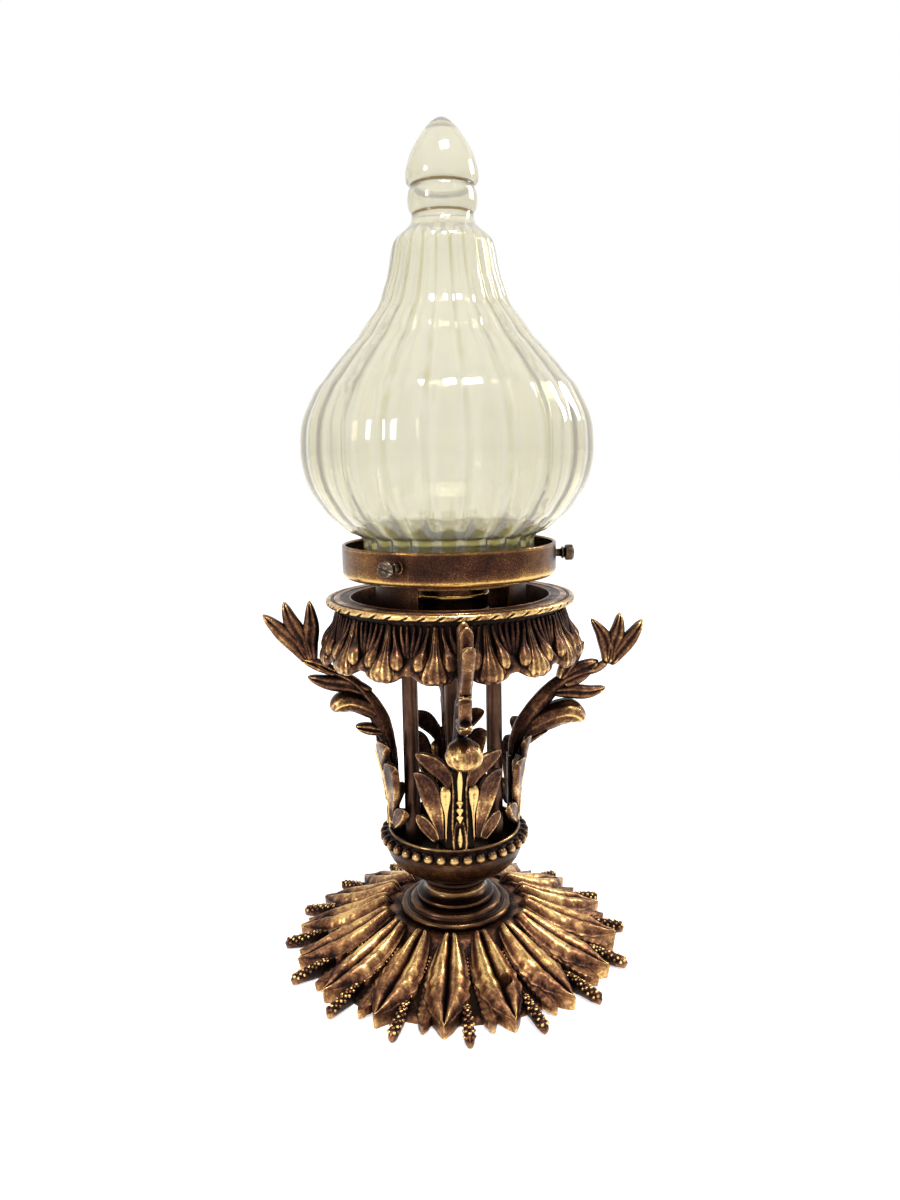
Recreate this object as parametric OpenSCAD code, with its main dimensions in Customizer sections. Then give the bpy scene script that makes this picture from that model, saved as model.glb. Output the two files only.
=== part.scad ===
// Short rigid ceiling lamp with an onion-shaped glass shade, standing on its ceiling plate.
// Millimetres. +Z up, z = 0 is the face that lies on the ceiling, and the lamp is turned over in use.

/* [Ceiling rose] */
// Number of times that the leaf pattern repeats round the rose
rose_repeats = 16; // [12:1:20]
// Radius to the tips of the big leaves
rose_leaf_r = 85.5; // [80:0.5:92]
// Radius to the tips of the narrow leaves
rose_narrow_r = 84; // [79:0.5:92]
// Radius to the tips of the beaded stalks
rose_stalk_r = 92; // [84:0.5:100]
// Radius to the notches between the tips
rose_notch_r = 75; // [72:0.5:78]
// Height of the leaf tips above the ceiling face
rose_tip_h = 7; // [4:0.5:9]
// Height of the flat crown that carries the flange
rose_crown_h = 20.5; // [17:0.5:22]
// Radius of the ridge where the leaves start, round the flange
rose_ridge_r = 38; // [36:0.5:42]
// Height of the leaves' grooves at the ridge
rose_ridge_h = 22.5; // [20:0.5:24]
// Thickness of the casting over its hollow
rose_wall = 3.5; // [2.5:0.25:5]
// Radius of the hole in the middle
rose_hole_r = 20; // [16:0.5:22]
// Width of the foot ring that lies on the ceiling, inside the notches
rose_foot_w = 18; // [16:0.5:20]
// Height of the double lobes of the big leaves
rose_lobe_h = 3; // [1.5:0.25:4]
// Direction of one big leaf, from +X
rose_turn = -94.4; // [-105:0.1:-84]
// Diameter of the ceiling screw holes
fix_hole_d = 6.5; // [4.5:0.25:8]
// Diameter of the circle through the ceiling screw holes
fix_circle_d = 130.6; // [126:0.1:134]
// Number of ceiling screw holes
fix_count = 2; // [2:1:4]
// Direction of one ceiling screw hole, from +X
fix_turn = -69.5; // [-80:0.5:-60]

/* [Stem] */
// Radius of the flange on the rose
flange_r = 29.4; // [27:0.1:32]
// Height of the flange's lower step
flange_low_h = 4.4; // [3:0.1:6]
// Radius of the flange's upper step
flange_step_r = 24; // [21.5:0.1:26]
// Height of the flange's upper step
flange_step_h = 2.6; // [2:0.1:4]
// Radius of the neck's foot
neck_foot_r = 20.6; // [19:0.1:21.2]
// Height of the neck's foot
neck_foot_h = 3; // [2:0.1:4]
// Radius of the neck's waist
neck_waist_r = 15.2; // [13:0.1:17]
// Radius of the neck's bright band
neck_band_r = 17.6; // [17.2:0.1:18.6]
// Whole height of the neck
neck_h = 14.5; // [13:0.1:18]

/* [Bowl] */
// Radius of the thin lip at the bowl's foot
bowl_lip_r = 20.2; // [19.5:0.1:22]
// Height of the thin lip
bowl_lip_h = 1.6; // [1:0.1:2.2]
// Outer radius of the bowl's mouth
bowl_r = 36; // [35.5:0.1:38]
// Height of the bowl
bowl_h = 18; // [16:0.5:22]
// Thickness of the solid bottom
bowl_floor_h = 9; // [8:0.5:10]
// Radius of the flat floor inside
bowl_floor_r = 28.8; // [28.6:0.1:29.4]
// Inner radius of the bowl's mouth
mouth_r = 33.4; // [33.2:0.1:34]
// Height of the bead collar's body
collar_h = 5.8; // [5.4:0.1:6.6]
// Height of the bright lip above the collar's body
collar_lip_h = 1.6; // [1.2:0.1:2.4]
// Width of the bright lip
collar_lip_w = 1.1; // [0.8:0.1:1.6]
// Radius of a bead
bead_r = 2.5; // [2:0.05:2.6]
// Number of beads
bead_count = 36; // [28:1:38]

/* [Acanthus leaves] */
// Direction of the right-hand leaf and its branch, from +X
leaf_turn = 4.6; // [0:0.1:6]
// Height of a leaf above its foot, to the tips of the top pair
leaf_h = 60; // [54:0.5:66]
// Width of a leaf across its big leaflets
leaf_w = 43; // [38:0.5:45]
// Thickness of a leaf
leaf_t = 1.9; // [1.5:0.1:2.2]
// How far the top of a leaf leans outwards
leaf_flare = 9; // [6:0.5:11]
// Gap between a leaf and the mouth of the bowl
leaf_gap = 0.4; // [0.2:0.05:0.6]
// How deep a leaf's foot stands inside the bowl's mouth
leaf_foot_d = 1.5; // [1:0.1:2]
// Diameter of the screws that hold a leaf and its branch
leaf_screw_d = 3; // [2.5:0.1:3.2]
// Diameter of the countersunk heads of these screws
leaf_screw_head_d = 5.4; // [4.6:0.1:5.6]
// Height of the countersunk heads
leaf_screw_head_h = 1.4; // [1:0.1:1.6]

/* [Branches] */
// Width of a branch, seen from the front
branch_w = 6.8; // [5.5:0.1:7.5]
// Thickness of a branch leaf, seen from the front
branch_leaf_w = 6.2; // [3.5:0.1:6.6]
// Thickness of a branch's root behind its acanthus leaf
branch_root_t = 2.1; // [1.8:0.05:2.2]
// Radius to the inner face of a branch's root
branch_root_r = 28.6; // [28.5:0.05:28.7]
// Radius of the round end of a curl
curl_r = 6.1; // [5:0.1:7]
// Width of a curl, seen from the front
curl_w = 18; // [15:0.5:20]

/* [Support rods] */
// Radius of the circle of rods
rod_circle_r = 24.4; // [24:0.05:24.5]
// Outer diameter of a rod
rod_d = 8; // [7:0.1:8.1]
// Bore of a rod, for the wires
rod_bore_d = 4.5; // [3.5:0.1:5]
// Depth of a rod's socket in the bowl's floor
rod_socket_d = 4; // [3:0.1:6]
// Diameter of a rod's flared top
rod_head_d = 11; // [9.6:0.1:11.6]
// Height of the flared top
rod_head_h = 14; // [10:0.5:18]
// Diameter of the threaded tail above the top plate
rod_tail_d = 6; // [5.6:0.1:6.2]
// Diameter of the wire holes in the back rod
wire_hole_d = 3.6; // [3:0.1:4]
// Width across a rod nut's corners
rod_nut_d = 11; // [10:0.1:12]
// Height of a rod nut
rod_nut_h = 3.5; // [3:0.1:5]

/* [Top plate and frame ring] */
// Height of the top plate's underside above the ceiling face
plate_z = 168; // [164:0.5:170]
// Thickness of the top plate
plate_t = 3; // [2.5:0.1:4]
// Radius of the top plate's disc
plate_r = 39.5; // [39:0.1:42]
// Width of one of the plate's three arms
plate_arm_w = 12; // [10:0.5:16]
// Outer radius of the frame ring
ring_r = 62.7; // [60:0.1:65]
// Radius of the ring's hole
ring_hole_r = 50; // [48:0.1:51]
// Thickness of the ring
ring_t = 3.9; // [3:0.1:5]
// Thickness of the collar under the ring
ring_collar_t = 2.5; // [2:0.1:3]
// Depth of the collar, from the ring down to the plate's arms
ring_collar_h = 15; // [13:0.5:17]
// Width of the collar's inner flange
ring_flange_w = 7; // [6.5:0.1:8]
// Thickness of the collar's inner flange
ring_flange_t = 2; // [1.5:0.1:2.5]
// Number of notches in the rope edge
rope_count = 48; // [32:4:60]
// Radius of a rope notch
rope_notch_r = 1.3; // [0.8:0.1:1.6]
// Diameter of the plate screws' shanks
plate_screw_d = 3; // [2.5:0.1:3.5]

/* [Leaf skirt] */
// Number of lobes round the skirt
skirt_lobes = 16; // [12:4:20]
// Gap between the ring's collar and the skirt
skirt_gap = 2.2; // [1.8:0.1:3.4]
// Outer radius of the skirt's curled lobes
skirt_r = 67.4; // [64:0.1:68]
// Height of the skirt, to the tips of the lobes
skirt_h = 28; // [24:0.5:29]
// Thickness of the skirt
skirt_t = 2.8; // [2.2:0.1:3]
// Rise of the notches between lobes
skirt_notch_h = 5.5; // [3:0.5:7]

/* [Gallery] */
// Outer radius of the drum that carries the gallery
drum_r = 38.5; // [37:0.1:38.8]
// Wall of the drum
drum_t = 1.2; // [1:0.1:1.5]
// Height of the drum
drum_h = 29; // [27:0.5:32]
// Inner radius of the drum's floor
drum_floor_r = 31; // [30:0.5:33]
// Thickness of the drum's floor
drum_floor_t = 1.5; // [1:0.1:2]
// Thickness of the ring at the drum's top
drum_roof_t = 1; // [0.8:0.1:1.4]
// Direction of the middle of the front window, from +X
window_turn = -77.5; // [-90:0.5:-60]
// Angle that one drum window covers
window_angle = 71; // [50:1:85]
// Height of a drum window
window_h = 21; // [14:0.5:22]
// Outer radius of the gallery
gallery_r = 53.5; // [52:0.1:56]
// Height of the gallery
gallery_h = 16.4; // [14:0.1:20]
// Thickness of the gallery's sheet
gallery_t = 0.8; // [0.7:0.05:1.2]
// Radius of the gallery's rounded lower edge
gallery_bend_r = 3; // [2:0.1:4]
// Inner radius of the gallery's floor
gallery_hole_r = 34; // [30:0.5:35]

/* [Thumb screws] */
// Direction of the right-hand thumb screw, from +X
thumb_turn = 2.5; // [0:0.5:5]
// Height of the thumb screws above the gallery's underside
thumb_h = 9.4; // [8.5:0.1:10.5]
// Diameter of a thumb screw's shank
thumb_shank_d = 3.9; // [3:0.1:4.2]
// Gap between the gallery's wall and the head of a thumb screw
thumb_gap = 3.4; // [2.5:0.1:4.5]
// Diameter of a thumb screw's head
thumb_head_d = 8; // [7:0.1:10]
// Length of a thumb screw's head
thumb_head_l = 6.1; // [4.5:0.1:7]
// Width of the slot in a thumb screw's head
thumb_slot_w = 0.9; // [0.6:0.1:1.2]

/* [Glass shade] */
// Outer radius of the shade's neck
shade_neck_r = 43; // [41:0.1:43.3]
// Height of the straight neck
shade_neck_h = 19.5; // [17.5:0.5:23]
// Largest radius of the shade
shade_belly_r = 72; // [66:0.5:78]
// Height of the belly above the shade's foot
shade_belly_h = 61; // [52:0.5:68]
// Radius of the shoulder under the finial
shade_shoulder_r = 24.6; // [23:0.1:28]
// Height of the shoulder above the shade's foot
shade_shoulder_h = 156; // [145:0.5:165]
// Radius of the groove under the finial's ring
finial_groove_r = 14.7; // [13.5:0.1:15.5]
// Radius of the finial's ring
finial_ring_r = 16.6; // [16:0.1:17.4]
// Largest radius of the bud
finial_bud_r = 17.3; // [16.6:0.1:18.4]
// Height of the finial, from the shoulder to its tip
finial_h = 58.3; // [54:0.1:62]
// Thickness of the glass
shade_t = 2.6; // [2:0.1:3.2]
// Extra radius of the rounded bead at the neck's end
shade_bead = 0.9; // [0.4:0.1:1]

/* [Lampholder] */
// Outer radius of the lampholder's shell
holder_r = 20; // [18.5:0.1:21]
// Height of the lampholder's cap
cap_h = 10; // [9.5:0.5:12]
// Height of the lampholder's shell
shell_h = 29.5; // [29.5:0.5:33]
// Wall of the shell
shell_t = 1.1; // [0.8:0.1:1.3]
// Radius of the screw shell that takes the bulb
socket_r = 13.3; // [13:0.05:13.5]
// Wall of the screw shell
socket_t = 0.8; // [0.6:0.05:1]
// Depth of the screw shell
socket_h = 24; // [22:0.5:24]
// Height of the porcelain insert's solid base
insert_base_h = 5; // [4.5:0.5:5.5]
// Diameter of the contact in the insert's floor
contact_d = 9; // [8:0.5:12]
// Depth of the contact's recess
contact_h = 1.8; // [1.4:0.1:2.2]
// Diameter of the contact's pin
contact_pin_d = 4; // [3:0.1:5]
// Distance of the insert's screw holes from its middle
insert_screw_r = 12; // [10:0.5:13]

/* [Threaded tubes] */
// Outer diameter of the threaded tubes
tube_d = 10; // [9:0.1:10.4]
// Bore of the threaded tubes
tube_bore_d = 7; // [6:0.1:7.4]
// Height of the lampholder's tube above the top plate
holder_tube_h = 9; // [8:0.5:9.5]
// Length of the lampholder's tube below its nut
tube_tail = 5; // [4:0.5:6]
// Width across a big nut's corners
nut_d = 17; // [15:0.5:19]
// Height of a big nut
nut_h = 4; // [3:0.1:5]
// Radius of the washer under the rose
washer_r = 25; // [24:0.1:26]
// Thickness of a washer
washer_t = 2; // [1.5:0.1:2.5]
// Clearance round a shaft in its hole
fit_gap = 0.05; // [0.03:0.01:0.08]

/* [Hidden] */
$fn = 96;
bronze = "#8a6530";
dark_bronze = "#5e4222";
brass = "#a88440";
steel = "#3c332a";
glass = "#d9e2a8";
porcelain = "#efece2";
eps = 0.01;

flange_z = rose_crown_h;
neck_z = flange_z + flange_low_h + flange_step_h;
bowl_z = neck_z + neck_h;
floor_z = bowl_z + bowl_floor_h;
collar_z = bowl_z + bowl_h;
collar_top_z = collar_z + collar_h + collar_lip_h;
leaf_z = collar_z - leaf_foot_d;
leaf_r = mouth_r - leaf_gap;
screw_z = collar_z + collar_h / 2;
plate_top_z = plate_z + plate_t;
ring_z = plate_top_z + ring_collar_h;
gallery_z = plate_top_z + drum_h;
drum_sill = (drum_h - window_h) / 2 + 1;
thumb_z = gallery_z + thumb_h;
shade_gap = 0.3;
shade_z = gallery_z + gallery_t + shade_gap;
tip_r = shade_neck_r + shade_bead + shade_gap;
head_r = gallery_r + thumb_gap;
thumb_shank_l = head_r - tip_r;
cap_z = plate_top_z;
shell_z = cap_z + cap_h;
socket_z = shell_z + insert_base_h;
rods = [90, 210, 330];
thumb_turns = [0, 120, 240];
arm_turns = [0, 90, 180, 270];
ring_screw_r = ring_hole_r - ring_flange_w / 2;
skirt_top_r = ring_hole_r + ring_collar_t + skirt_gap + skirt_t;

// A rounded step from 0 at x = 0 to 1 at x = 1
function ease(x) = let (c = max(0, min(1, x))) c * c * (3 - 2 * c);

// A bump of height 1 at c that falls to 0 at c - w and c + w
function bump(x, c, w) = max(0, 1 - pow((x - c) / w, 2));

// A point of the cubic curve with the control points p
function bezier(p, t) =
    pow(1 - t, 3) * p[0] + 3 * t * pow(1 - t, 2) * p[1] + 3 * t * t * (1 - t) * p[2] + t * t * t * p[3];

// A point of the smooth curve through the points p, at s counted in points from the first
function through(p, s) =
    let (i = min(floor(s), len(p) - 2), t = s - i)
    let (a = p[max(i - 1, 0)], b = p[i], c = p[i + 1], d = p[min(i + 2, len(p) - 1)])
    b + 0.5 * t * (c - a + t * (2 * a - 5 * b + 4 * c - d + t * (3 * b - a - 3 * c + d)));

// Joins the walls of a closed tube of rings: ring i, column j, with n columns
function quads(rings, n) = [
    for (i = [0:rings - 1], j = [0:n - 1])
        let (k = (i + 1) % rings, m = (j + 1) % n)
        for (f = [[i * n + j, i * n + m, k * n + m], [i * n + j, k * n + m, k * n + j]]) f
];

// Ceiling rose
// One repeat: share of the step from the big leaf's middle, then how far each tip reaches there
rose_outline = [
    [-0.46, 0, 0.25, 0], [-0.385, 0, 0.75, 0], [-0.31, 0, 1, 0], [-0.25, 0, 0.6, 0], [-0.2, 0.15, 0.2, 0],
    [-0.12, 0.55, 0, 0], [-0.05, 0.9, 0, 0], [0, 1, 0, 0], [0.05, 0.9, 0, 0], [0.12, 0.55, 0, 0],
    [0.2, 0.15, 0, 0.1], [0.26, 0, 0, 0.75], [0.34, 0, 0, 1], [0.42, 0, 0, 0.75], [0.48, 0, 0, 0.1]
];
rose_step = 360 / rose_repeats;
rose_root_r = flange_r + 0.6;
rose_foot_r = rose_notch_r - rose_foot_w;
rose_inner_r = rose_hole_r - 1.5;

// Radius of the rose's edge at one entry of the outline
function rose_edge(o) = rose_notch_r + o[1] * (rose_leaf_r - rose_notch_r)
    + o[2] * (rose_narrow_r - rose_notch_r) + o[3] * (rose_stalk_r - rose_notch_r);

// Height of the rose's plain slope at radius r: up from the flange to the ridge, then down to the tips
function rose_slope(r) =
    r < rose_ridge_r
    ? rose_crown_h + (rose_ridge_h - rose_crown_h) * ease((r - rose_root_r) / (rose_ridge_r - rose_root_r))
    : let (u = min(1, (r - rose_ridge_r) / (rose_leaf_r - rose_ridge_r)))
        rose_tip_h + (rose_ridge_h - rose_tip_h) * pow(1 - u, 1.5);

// Height of the leaf forms above the slope, at share s of the step and share t of the way out
function rose_relief(s, t) =
    let (grow = ease(t / 0.16), fall = 1 - 0.55 * ease((t - 0.7) / 0.3), narrow = 1 - 0.5 * ease(t / 0.9))
    grow * fall * (rose_lobe_h * bump(abs(s), 0.15 * narrow, 0.19 * narrow)
    + ease(t / 0.6) * rose_lobe_h * 0.6 * (bump(s, -0.35, 0.12) + bump(s, 0.36, 0.12)));

// Rings of the rose, from the hole out over the leaves, round the edge and back under: [r, z]
function rose_ring(o, i) =
    let (edge = rose_edge(o), out = [0, 0.09, 0.18, 0.34, 0.52, 0.72, 0.89, 1])
    i == 0 ? [rose_inner_r, rose_crown_h]
    : i <= 8 ? let (t = out[i - 1], r = rose_root_r + t * (edge - rose_root_r))
        [r, t == 0 ? rose_crown_h : rose_slope(r) + rose_relief(o[0], t)]
    : i == 9 ? [edge, 0]
    : i == 10 ? [rose_foot_r, 0]
    : i == 11 ? [rose_foot_r - 2, rose_slope(rose_foot_r) - rose_wall]
    : i == 12 ? [rose_root_r, rose_crown_h - rose_wall - 1]
    : i == 13 ? [washer_r + 1, rose_crown_h - rose_wall]
    : [rose_inner_r, rose_crown_h - rose_wall];

rose_rings = 15;

module ceiling_rose() {
    columns = [for (k = [0:rose_repeats - 1], o = rose_outline) [o, rose_turn + (k + o[0]) * rose_step]];
    points = [
        for (i = [0:rose_rings - 1], c = columns)
            let (p = rose_ring(c[0], i)) [p[0] * cos(c[1]), p[0] * sin(c[1]), p[1]]
    ];
    color(bronze) difference() {
        polyhedron(points, quads(rose_rings, len(columns)));
        translate([0, 0, -1]) cylinder(h = rose_crown_h + 2, r = rose_hole_r);
        for (k = [0:fix_count - 1])
            rotate(fix_turn + k * 360 / fix_count)
                translate([fix_circle_d / 2, 0, -1]) cylinder(h = rose_crown_h + 6, d = fix_hole_d, $fn = 48);
    }
}

// Turned stem
module rose_flange() {
    bore = tube_d / 2 + fit_gap;
    color(bronze) translate([0, 0, flange_z]) rotate_extrude() difference() {
        union() {
            translate([bore, 0]) square([flange_r - flange_low_h / 2 - bore, flange_low_h]);
            translate([flange_r - flange_low_h / 2, flange_low_h / 2]) circle(d = flange_low_h, $fn = 48);
            translate([bore, 0]) square([flange_step_r - bore, flange_low_h + flange_step_h]);
        }
        translate([flange_step_r + 1.1, flange_low_h + 0.2]) circle(r = 0.9, $fn = 32);
        translate([flange_step_r + 0.5, flange_low_h + flange_step_h + 0.5]) circle(r = 1.6, $fn = 32);
    }
}

// Cavetto, band and top of the neck, as heights above its foot
neck_curve = [
    [neck_foot_r, 0], [neck_foot_r, neck_foot_h], [neck_waist_r + 2.2, neck_foot_h + 0.6],
    [neck_waist_r, neck_h * 0.42], [neck_waist_r + 0.5, neck_h * 0.52], [neck_band_r, neck_h * 0.6],
    [neck_band_r, neck_h * 0.78], [neck_band_r - 1.3, neck_h * 0.86], [neck_band_r - 1.6, neck_h]
];

module stem_neck() {
    color(bronze) translate([0, 0, neck_z]) rotate_extrude()
        polygon(concat([[tube_d / 2 + fit_gap, 0]], neck_curve, [[tube_d / 2 + fit_gap, neck_h]]));
}

// Bowl
// Outer curve of the bowl, a quarter ellipse from its foot to its mouth
function bowl_out(a) = [
    bowl_lip_r - 1.2 + (bowl_r - bowl_lip_r + 1.2) * sin(a),
    bowl_lip_h + 0.4 + (bowl_h - bowl_lip_h - 0.4) * (1 - cos(a))
];
// Inner curve of the bowl, from its floor to its mouth
function bowl_in(a) = [
    bowl_floor_r + (mouth_r - bowl_floor_r) * sin(a),
    bowl_floor_h + (bowl_h - bowl_floor_h) * (1 - cos(a))
];

module bowl() {
    color(dark_bronze) difference() {
        translate([0, 0, bowl_z]) rotate_extrude() polygon(concat(
            [[tube_d / 2 + fit_gap, 0], [bowl_lip_r - 0.5, 0], [bowl_lip_r, bowl_lip_h / 2]],
            [[bowl_lip_r - 0.4, bowl_lip_h]],
            [for (a = [0:7.5:90]) bowl_out(a)],
            [for (a = [90:-10:0]) bowl_in(a)],
            [[tube_d / 2 + fit_gap, bowl_floor_h]]
        ));
        for (a = rods)
            rotate(a) translate([rod_circle_r, 0, floor_z - rod_socket_d])
                cylinder(h = bowl_h, d = rod_d + 2 * fit_gap, $fn = 48);
    }
}

collar_r = bowl_r + 0.6;

module bead_collar() {
    color(dark_bronze) difference() {
        union() {
            translate([0, 0, collar_z]) rotate_extrude() {
                translate([mouth_r, 0]) square([collar_r - mouth_r, collar_h]);
                translate([mouth_r, 0]) square([collar_lip_w, collar_h + collar_lip_h - 0.5]);
                translate([mouth_r + collar_lip_w / 2, collar_h + collar_lip_h - collar_lip_w / 2])
                    circle(d = collar_lip_w, $fn = 32);
            }
            for (k = [0:bead_count - 1])
                rotate(leaf_turn + (k + 0.5) * 360 / bead_count)
                    translate([collar_r - 0.3, 0, screw_z]) rotate([0, 90, 0]) sphere(r = bead_r, $fn = 32);
        }
        for (a = arm_turns)
            rotate(leaf_turn + a) translate([0, 0, screw_z]) rotate([0, 90, 0])
                cylinder(h = collar_r - 1, d = leaf_screw_d + 2 * fit_gap, $fn = 32);
    }
}

// Acanthus leaves
// Outer face of a leaf at share t of its height: straight in the bowl, leaning out above it
function leaf_face(t) = [leaf_r + leaf_flare * pow(ease((t - 0.15) / 1.1), 1.5), t * leaf_h];

// Right half of a leaf's outline, up from the foot, as shares of half the width and of the height.
// The third value is how far the edge that arrives at the point is bowed.
leaf_shares = [
    [0.34, -0.02, 0], [0.3, 0.12, 0], [0.95, 0.44, 0.12], [0.4, 0.36, 0.03], [0.42, 0.4, 0],
    [1, 0.77, 0.1], [0.38, 0.62, 0.16], [0.3, 0.78, 0], [1.03, 1, 0.12], [0.2, 0.86, 0.1], [0, 0.87, 0]
];

// Points of a bowed edge from a towards b, k times its length deep
function bow(a, b, k) = [
    for (i = [0:4]) let (t = i / 5, d = b - a) a + t * d + [d[1], -d[0]] * 4 * k * t * (1 - t)
];

// Front outline of a leaf: x across, y up from the foot
module leaf_outline() {
    size = [leaf_w / 2, leaf_h];
    corners = [for (p = leaf_shares) [p[0] * size[0], p[1] * size[1]]];
    right = [for (i = [0:len(corners) - 2]) each bow(corners[i], corners[i + 1], leaf_shares[i + 1][2])];
    polygon(concat(right, [for (i = [len(right) - 1:-1:0]) [-right[i][0], right[i][1]]]));
}

module acanthus_leaf(turn) {
    color(bronze) rotate(leaf_turn + turn) difference() {
        intersection() {
            translate([0, 0, leaf_z]) rotate_extrude() polygon(concat(
                [for (i = [0:13]) leaf_face(i / 12)],
                [for (i = [13:-1:0]) leaf_face(i / 12) - [leaf_t, 0]]
            ));
            translate([0, 0, leaf_z]) rotate([90, 0, 90]) linear_extrude(height = 2 * leaf_r) leaf_outline();
        }
        translate([0, 0, screw_z]) rotate([0, 90, 0])
            cylinder(h = 2 * leaf_r, d = leaf_screw_d + 2 * fit_gap, $fn = 32);
    }
}

// Branches
// Middle line of a branch above its root, as [radius, height, thickness]
branch_right = [
    [30.9, 100, 3.6], [31.8, 109, 5.6], [36.6, 118, 10], [42, 125.6, 11], [47.8, 133.2, 9.8],
    [54, 139.5, 8.2], [61, 144, 6.8], [69, 146.5, 5.2], [76, 148, 4.6], [81.5, 151.5, 4.6]
];
branch_left = [
    [30.9, 100, 3.6], [31.8, 109, 5.6], [34.4, 117, 9], [37, 125, 10.6], [40.6, 132.5, 9.6],
    [44.6, 139.5, 7.2], [50, 145.8, 5.4], [57, 150.2, 4.6], [64, 153, 4.4], [70, 157, 4.6]
];
branch_front = [
    [30.9, 100, 3.6], [31.8, 109, 5.6], [36, 118, 9], [41.5, 126, 9.6], [47, 134, 8.4],
    [52, 141.5, 6.8], [57, 147.5, 5.4], [63, 151.5, 4.6], [67.5, 154, 4.4], [71, 158, 4.6]
];
// Leaves of a branch, as the points of the middle line and the width
leaves_right = [
    [[[52, 136.5], [62, 136.2], [72, 135.6], [81, 137.8]], 6.8], [[[57, 141], [65, 145.5], [77, 152.3]], 9.8],
    [[[56.5, 142], [61, 151], [69.3, 162.6]], 7], [[[81.5, 150], [81.6, 158], [79, 166], [72.9, 174.4]], 7.4],
    [[[82, 150], [84.4, 160], [87, 168], [88, 177.2]], 7.4],
    [[[82.4, 150], [88.4, 157.5], [94.8, 165], [100.1, 173.3]], 7.2]
];
leaves_left = [
    [[[41, 139.5], [52, 144], [64, 146.2], [73.6, 149.4]], 7.6],
    [[[35, 119], [43, 120.6], [50.2, 122.4]], 5.6],
    [[[58, 150.5], [67, 155], [76.5, 158.5]], 5.4], [[[70.5, 156], [71.4, 167], [70.4, 177], [71, 188.6]], 8],
    [[[70.8, 156], [75.2, 168], [80.4, 178], [83.6, 188.4]], 8],
    [[[71, 156], [78, 165.5], [86.4, 174], [94.4, 182.2]], 8]
];
leaves_front = [
    [[[51, 137.5], [64, 139.5], [77.5, 142.5]], 7], [[[58, 148.5], [67, 152.5], [76, 156]], 5.4],
    [[[71, 156], [71.4, 167], [70.4, 177], [71, 188.6]], 8],
    [[[71.2, 156], [75.2, 168], [80.4, 178], [83.6, 188.4]], 8],
    [[[71.4, 156], [78, 165.5], [86.4, 174], [94.4, 182.2]], 8]
];
// A branch's curl, as [radius, height, thickness]
curl_right = [[35, 114.5, 6], [43, 118.5, 12], [50.5, 122.4, 13.4], [58, 125, 11.4]];
curl_left = [[36, 126, 6], [42, 131, 11], [47, 133.6, 10.4], [52, 135.2, 9.6]];

// A pointed leaflet along a line, w wide
module leaflet(line, w) {
    last = len(line) - 1;
    steps = 5 * last;
    middle = [for (i = [0:steps]) through(line, i / 5)];
    side = [
        for (i = [1:steps - 1])
            let (d = middle[i + 1] - middle[i - 1], k = sin(180 * pow(i / steps, 1.15)))
            [-d[1], d[0]] / norm(d) * (w / 2 * pow(k, 0.8) + 0.2)
    ];
    polygon(concat(
        [middle[0]], [for (i = [1:steps - 1]) middle[i] + side[i - 1]], [middle[steps]],
        [for (i = [steps - 1:-1:1]) middle[i] - side[i - 1]]
    ));
}

// Side outline of the curved stem, from its middle line
module stem_outline(line) {
    steps = 3 * (len(line) - 1);
    middle = [for (i = [0:steps]) through(line, i / 3)];
    side = [
        for (i = [0:steps])
            let (d = middle[min(i + 1, steps)] - middle[max(i - 1, 0)], l = norm([d[0], d[1]]))
            [-d[1], d[0]] / l * middle[i][2] / 2
    ];
    polygon(concat(
        [for (i = [0:steps]) [middle[i][0], middle[i][1]] + side[i]],
        [for (i = [steps:-1:0]) [middle[i][0], middle[i][1]] - side[i]]
    ));
}

module leaf_branch(turn, line, leaves, curl) {
    root_h = line[0][1] - leaf_z + 1;
    end = curl[len(curl) - 1];
    ahead = end - curl[len(curl) - 2];
    knob = [end[0], end[1]] + [ahead[0], ahead[1]] * 0.6;
    color(bronze) rotate(leaf_turn + turn) {
        difference() {
            union() {
                rotate([90, 0, 0]) linear_extrude(height = branch_w, center = true) {
                    stem_outline(line);
                    stem_outline(curl);
                }
                translate([branch_root_r, -branch_w / 2, leaf_z]) cube([branch_root_t, branch_w, root_h]);
                rotate([90, 0, 0]) linear_extrude(height = branch_leaf_w, center = true)
                    for (l = leaves) leaflet(l[0], l[1]);
                translate([end[0], 0, end[1]]) rotate([0, 90 - atan2(ahead[1], ahead[0]), 0])
                    cylinder(h = norm(knob - [end[0], end[1]]),
                        r1 = branch_w / 2 + 0.4, r2 = curl_r - 0.6, $fn = 48);
                translate([knob[0], 0, knob[1]]) {
                    for (s = [-1, 1])
                        translate([0, s * (curl_w / 2 - curl_r), 0]) sphere(r = curl_r, $fn = 48);
                    rotate([90, 0, 0]) cylinder(h = curl_w - 2 * curl_r, r = curl_r, center = true, $fn = 48);
                }
            }
            translate([branch_root_r - 1, 0, screw_z]) rotate([0, 90, 0])
                cylinder(h = 5, d = leaf_screw_d + 2 * fit_gap, $fn = 32);
            translate([branch_root_r - eps, 0, screw_z]) rotate([0, 90, 0])
                cylinder(h = leaf_screw_head_h + eps, d1 = leaf_screw_head_d + 2 * fit_gap,
                    d2 = leaf_screw_d + 2 * fit_gap, $fn = 32);
        }
    }
}

module leaf_screws() {
    color(steel) for (a = arm_turns)
        rotate(leaf_turn + a) translate([branch_root_r, 0, screw_z]) rotate([0, 90, 0]) {
            cylinder(h = leaf_screw_head_h, d1 = leaf_screw_head_d, d2 = leaf_screw_d, $fn = 32);
            cylinder(h = collar_r - 1.4 - branch_root_r, d = leaf_screw_d, $fn = 32);
        }
}

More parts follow.
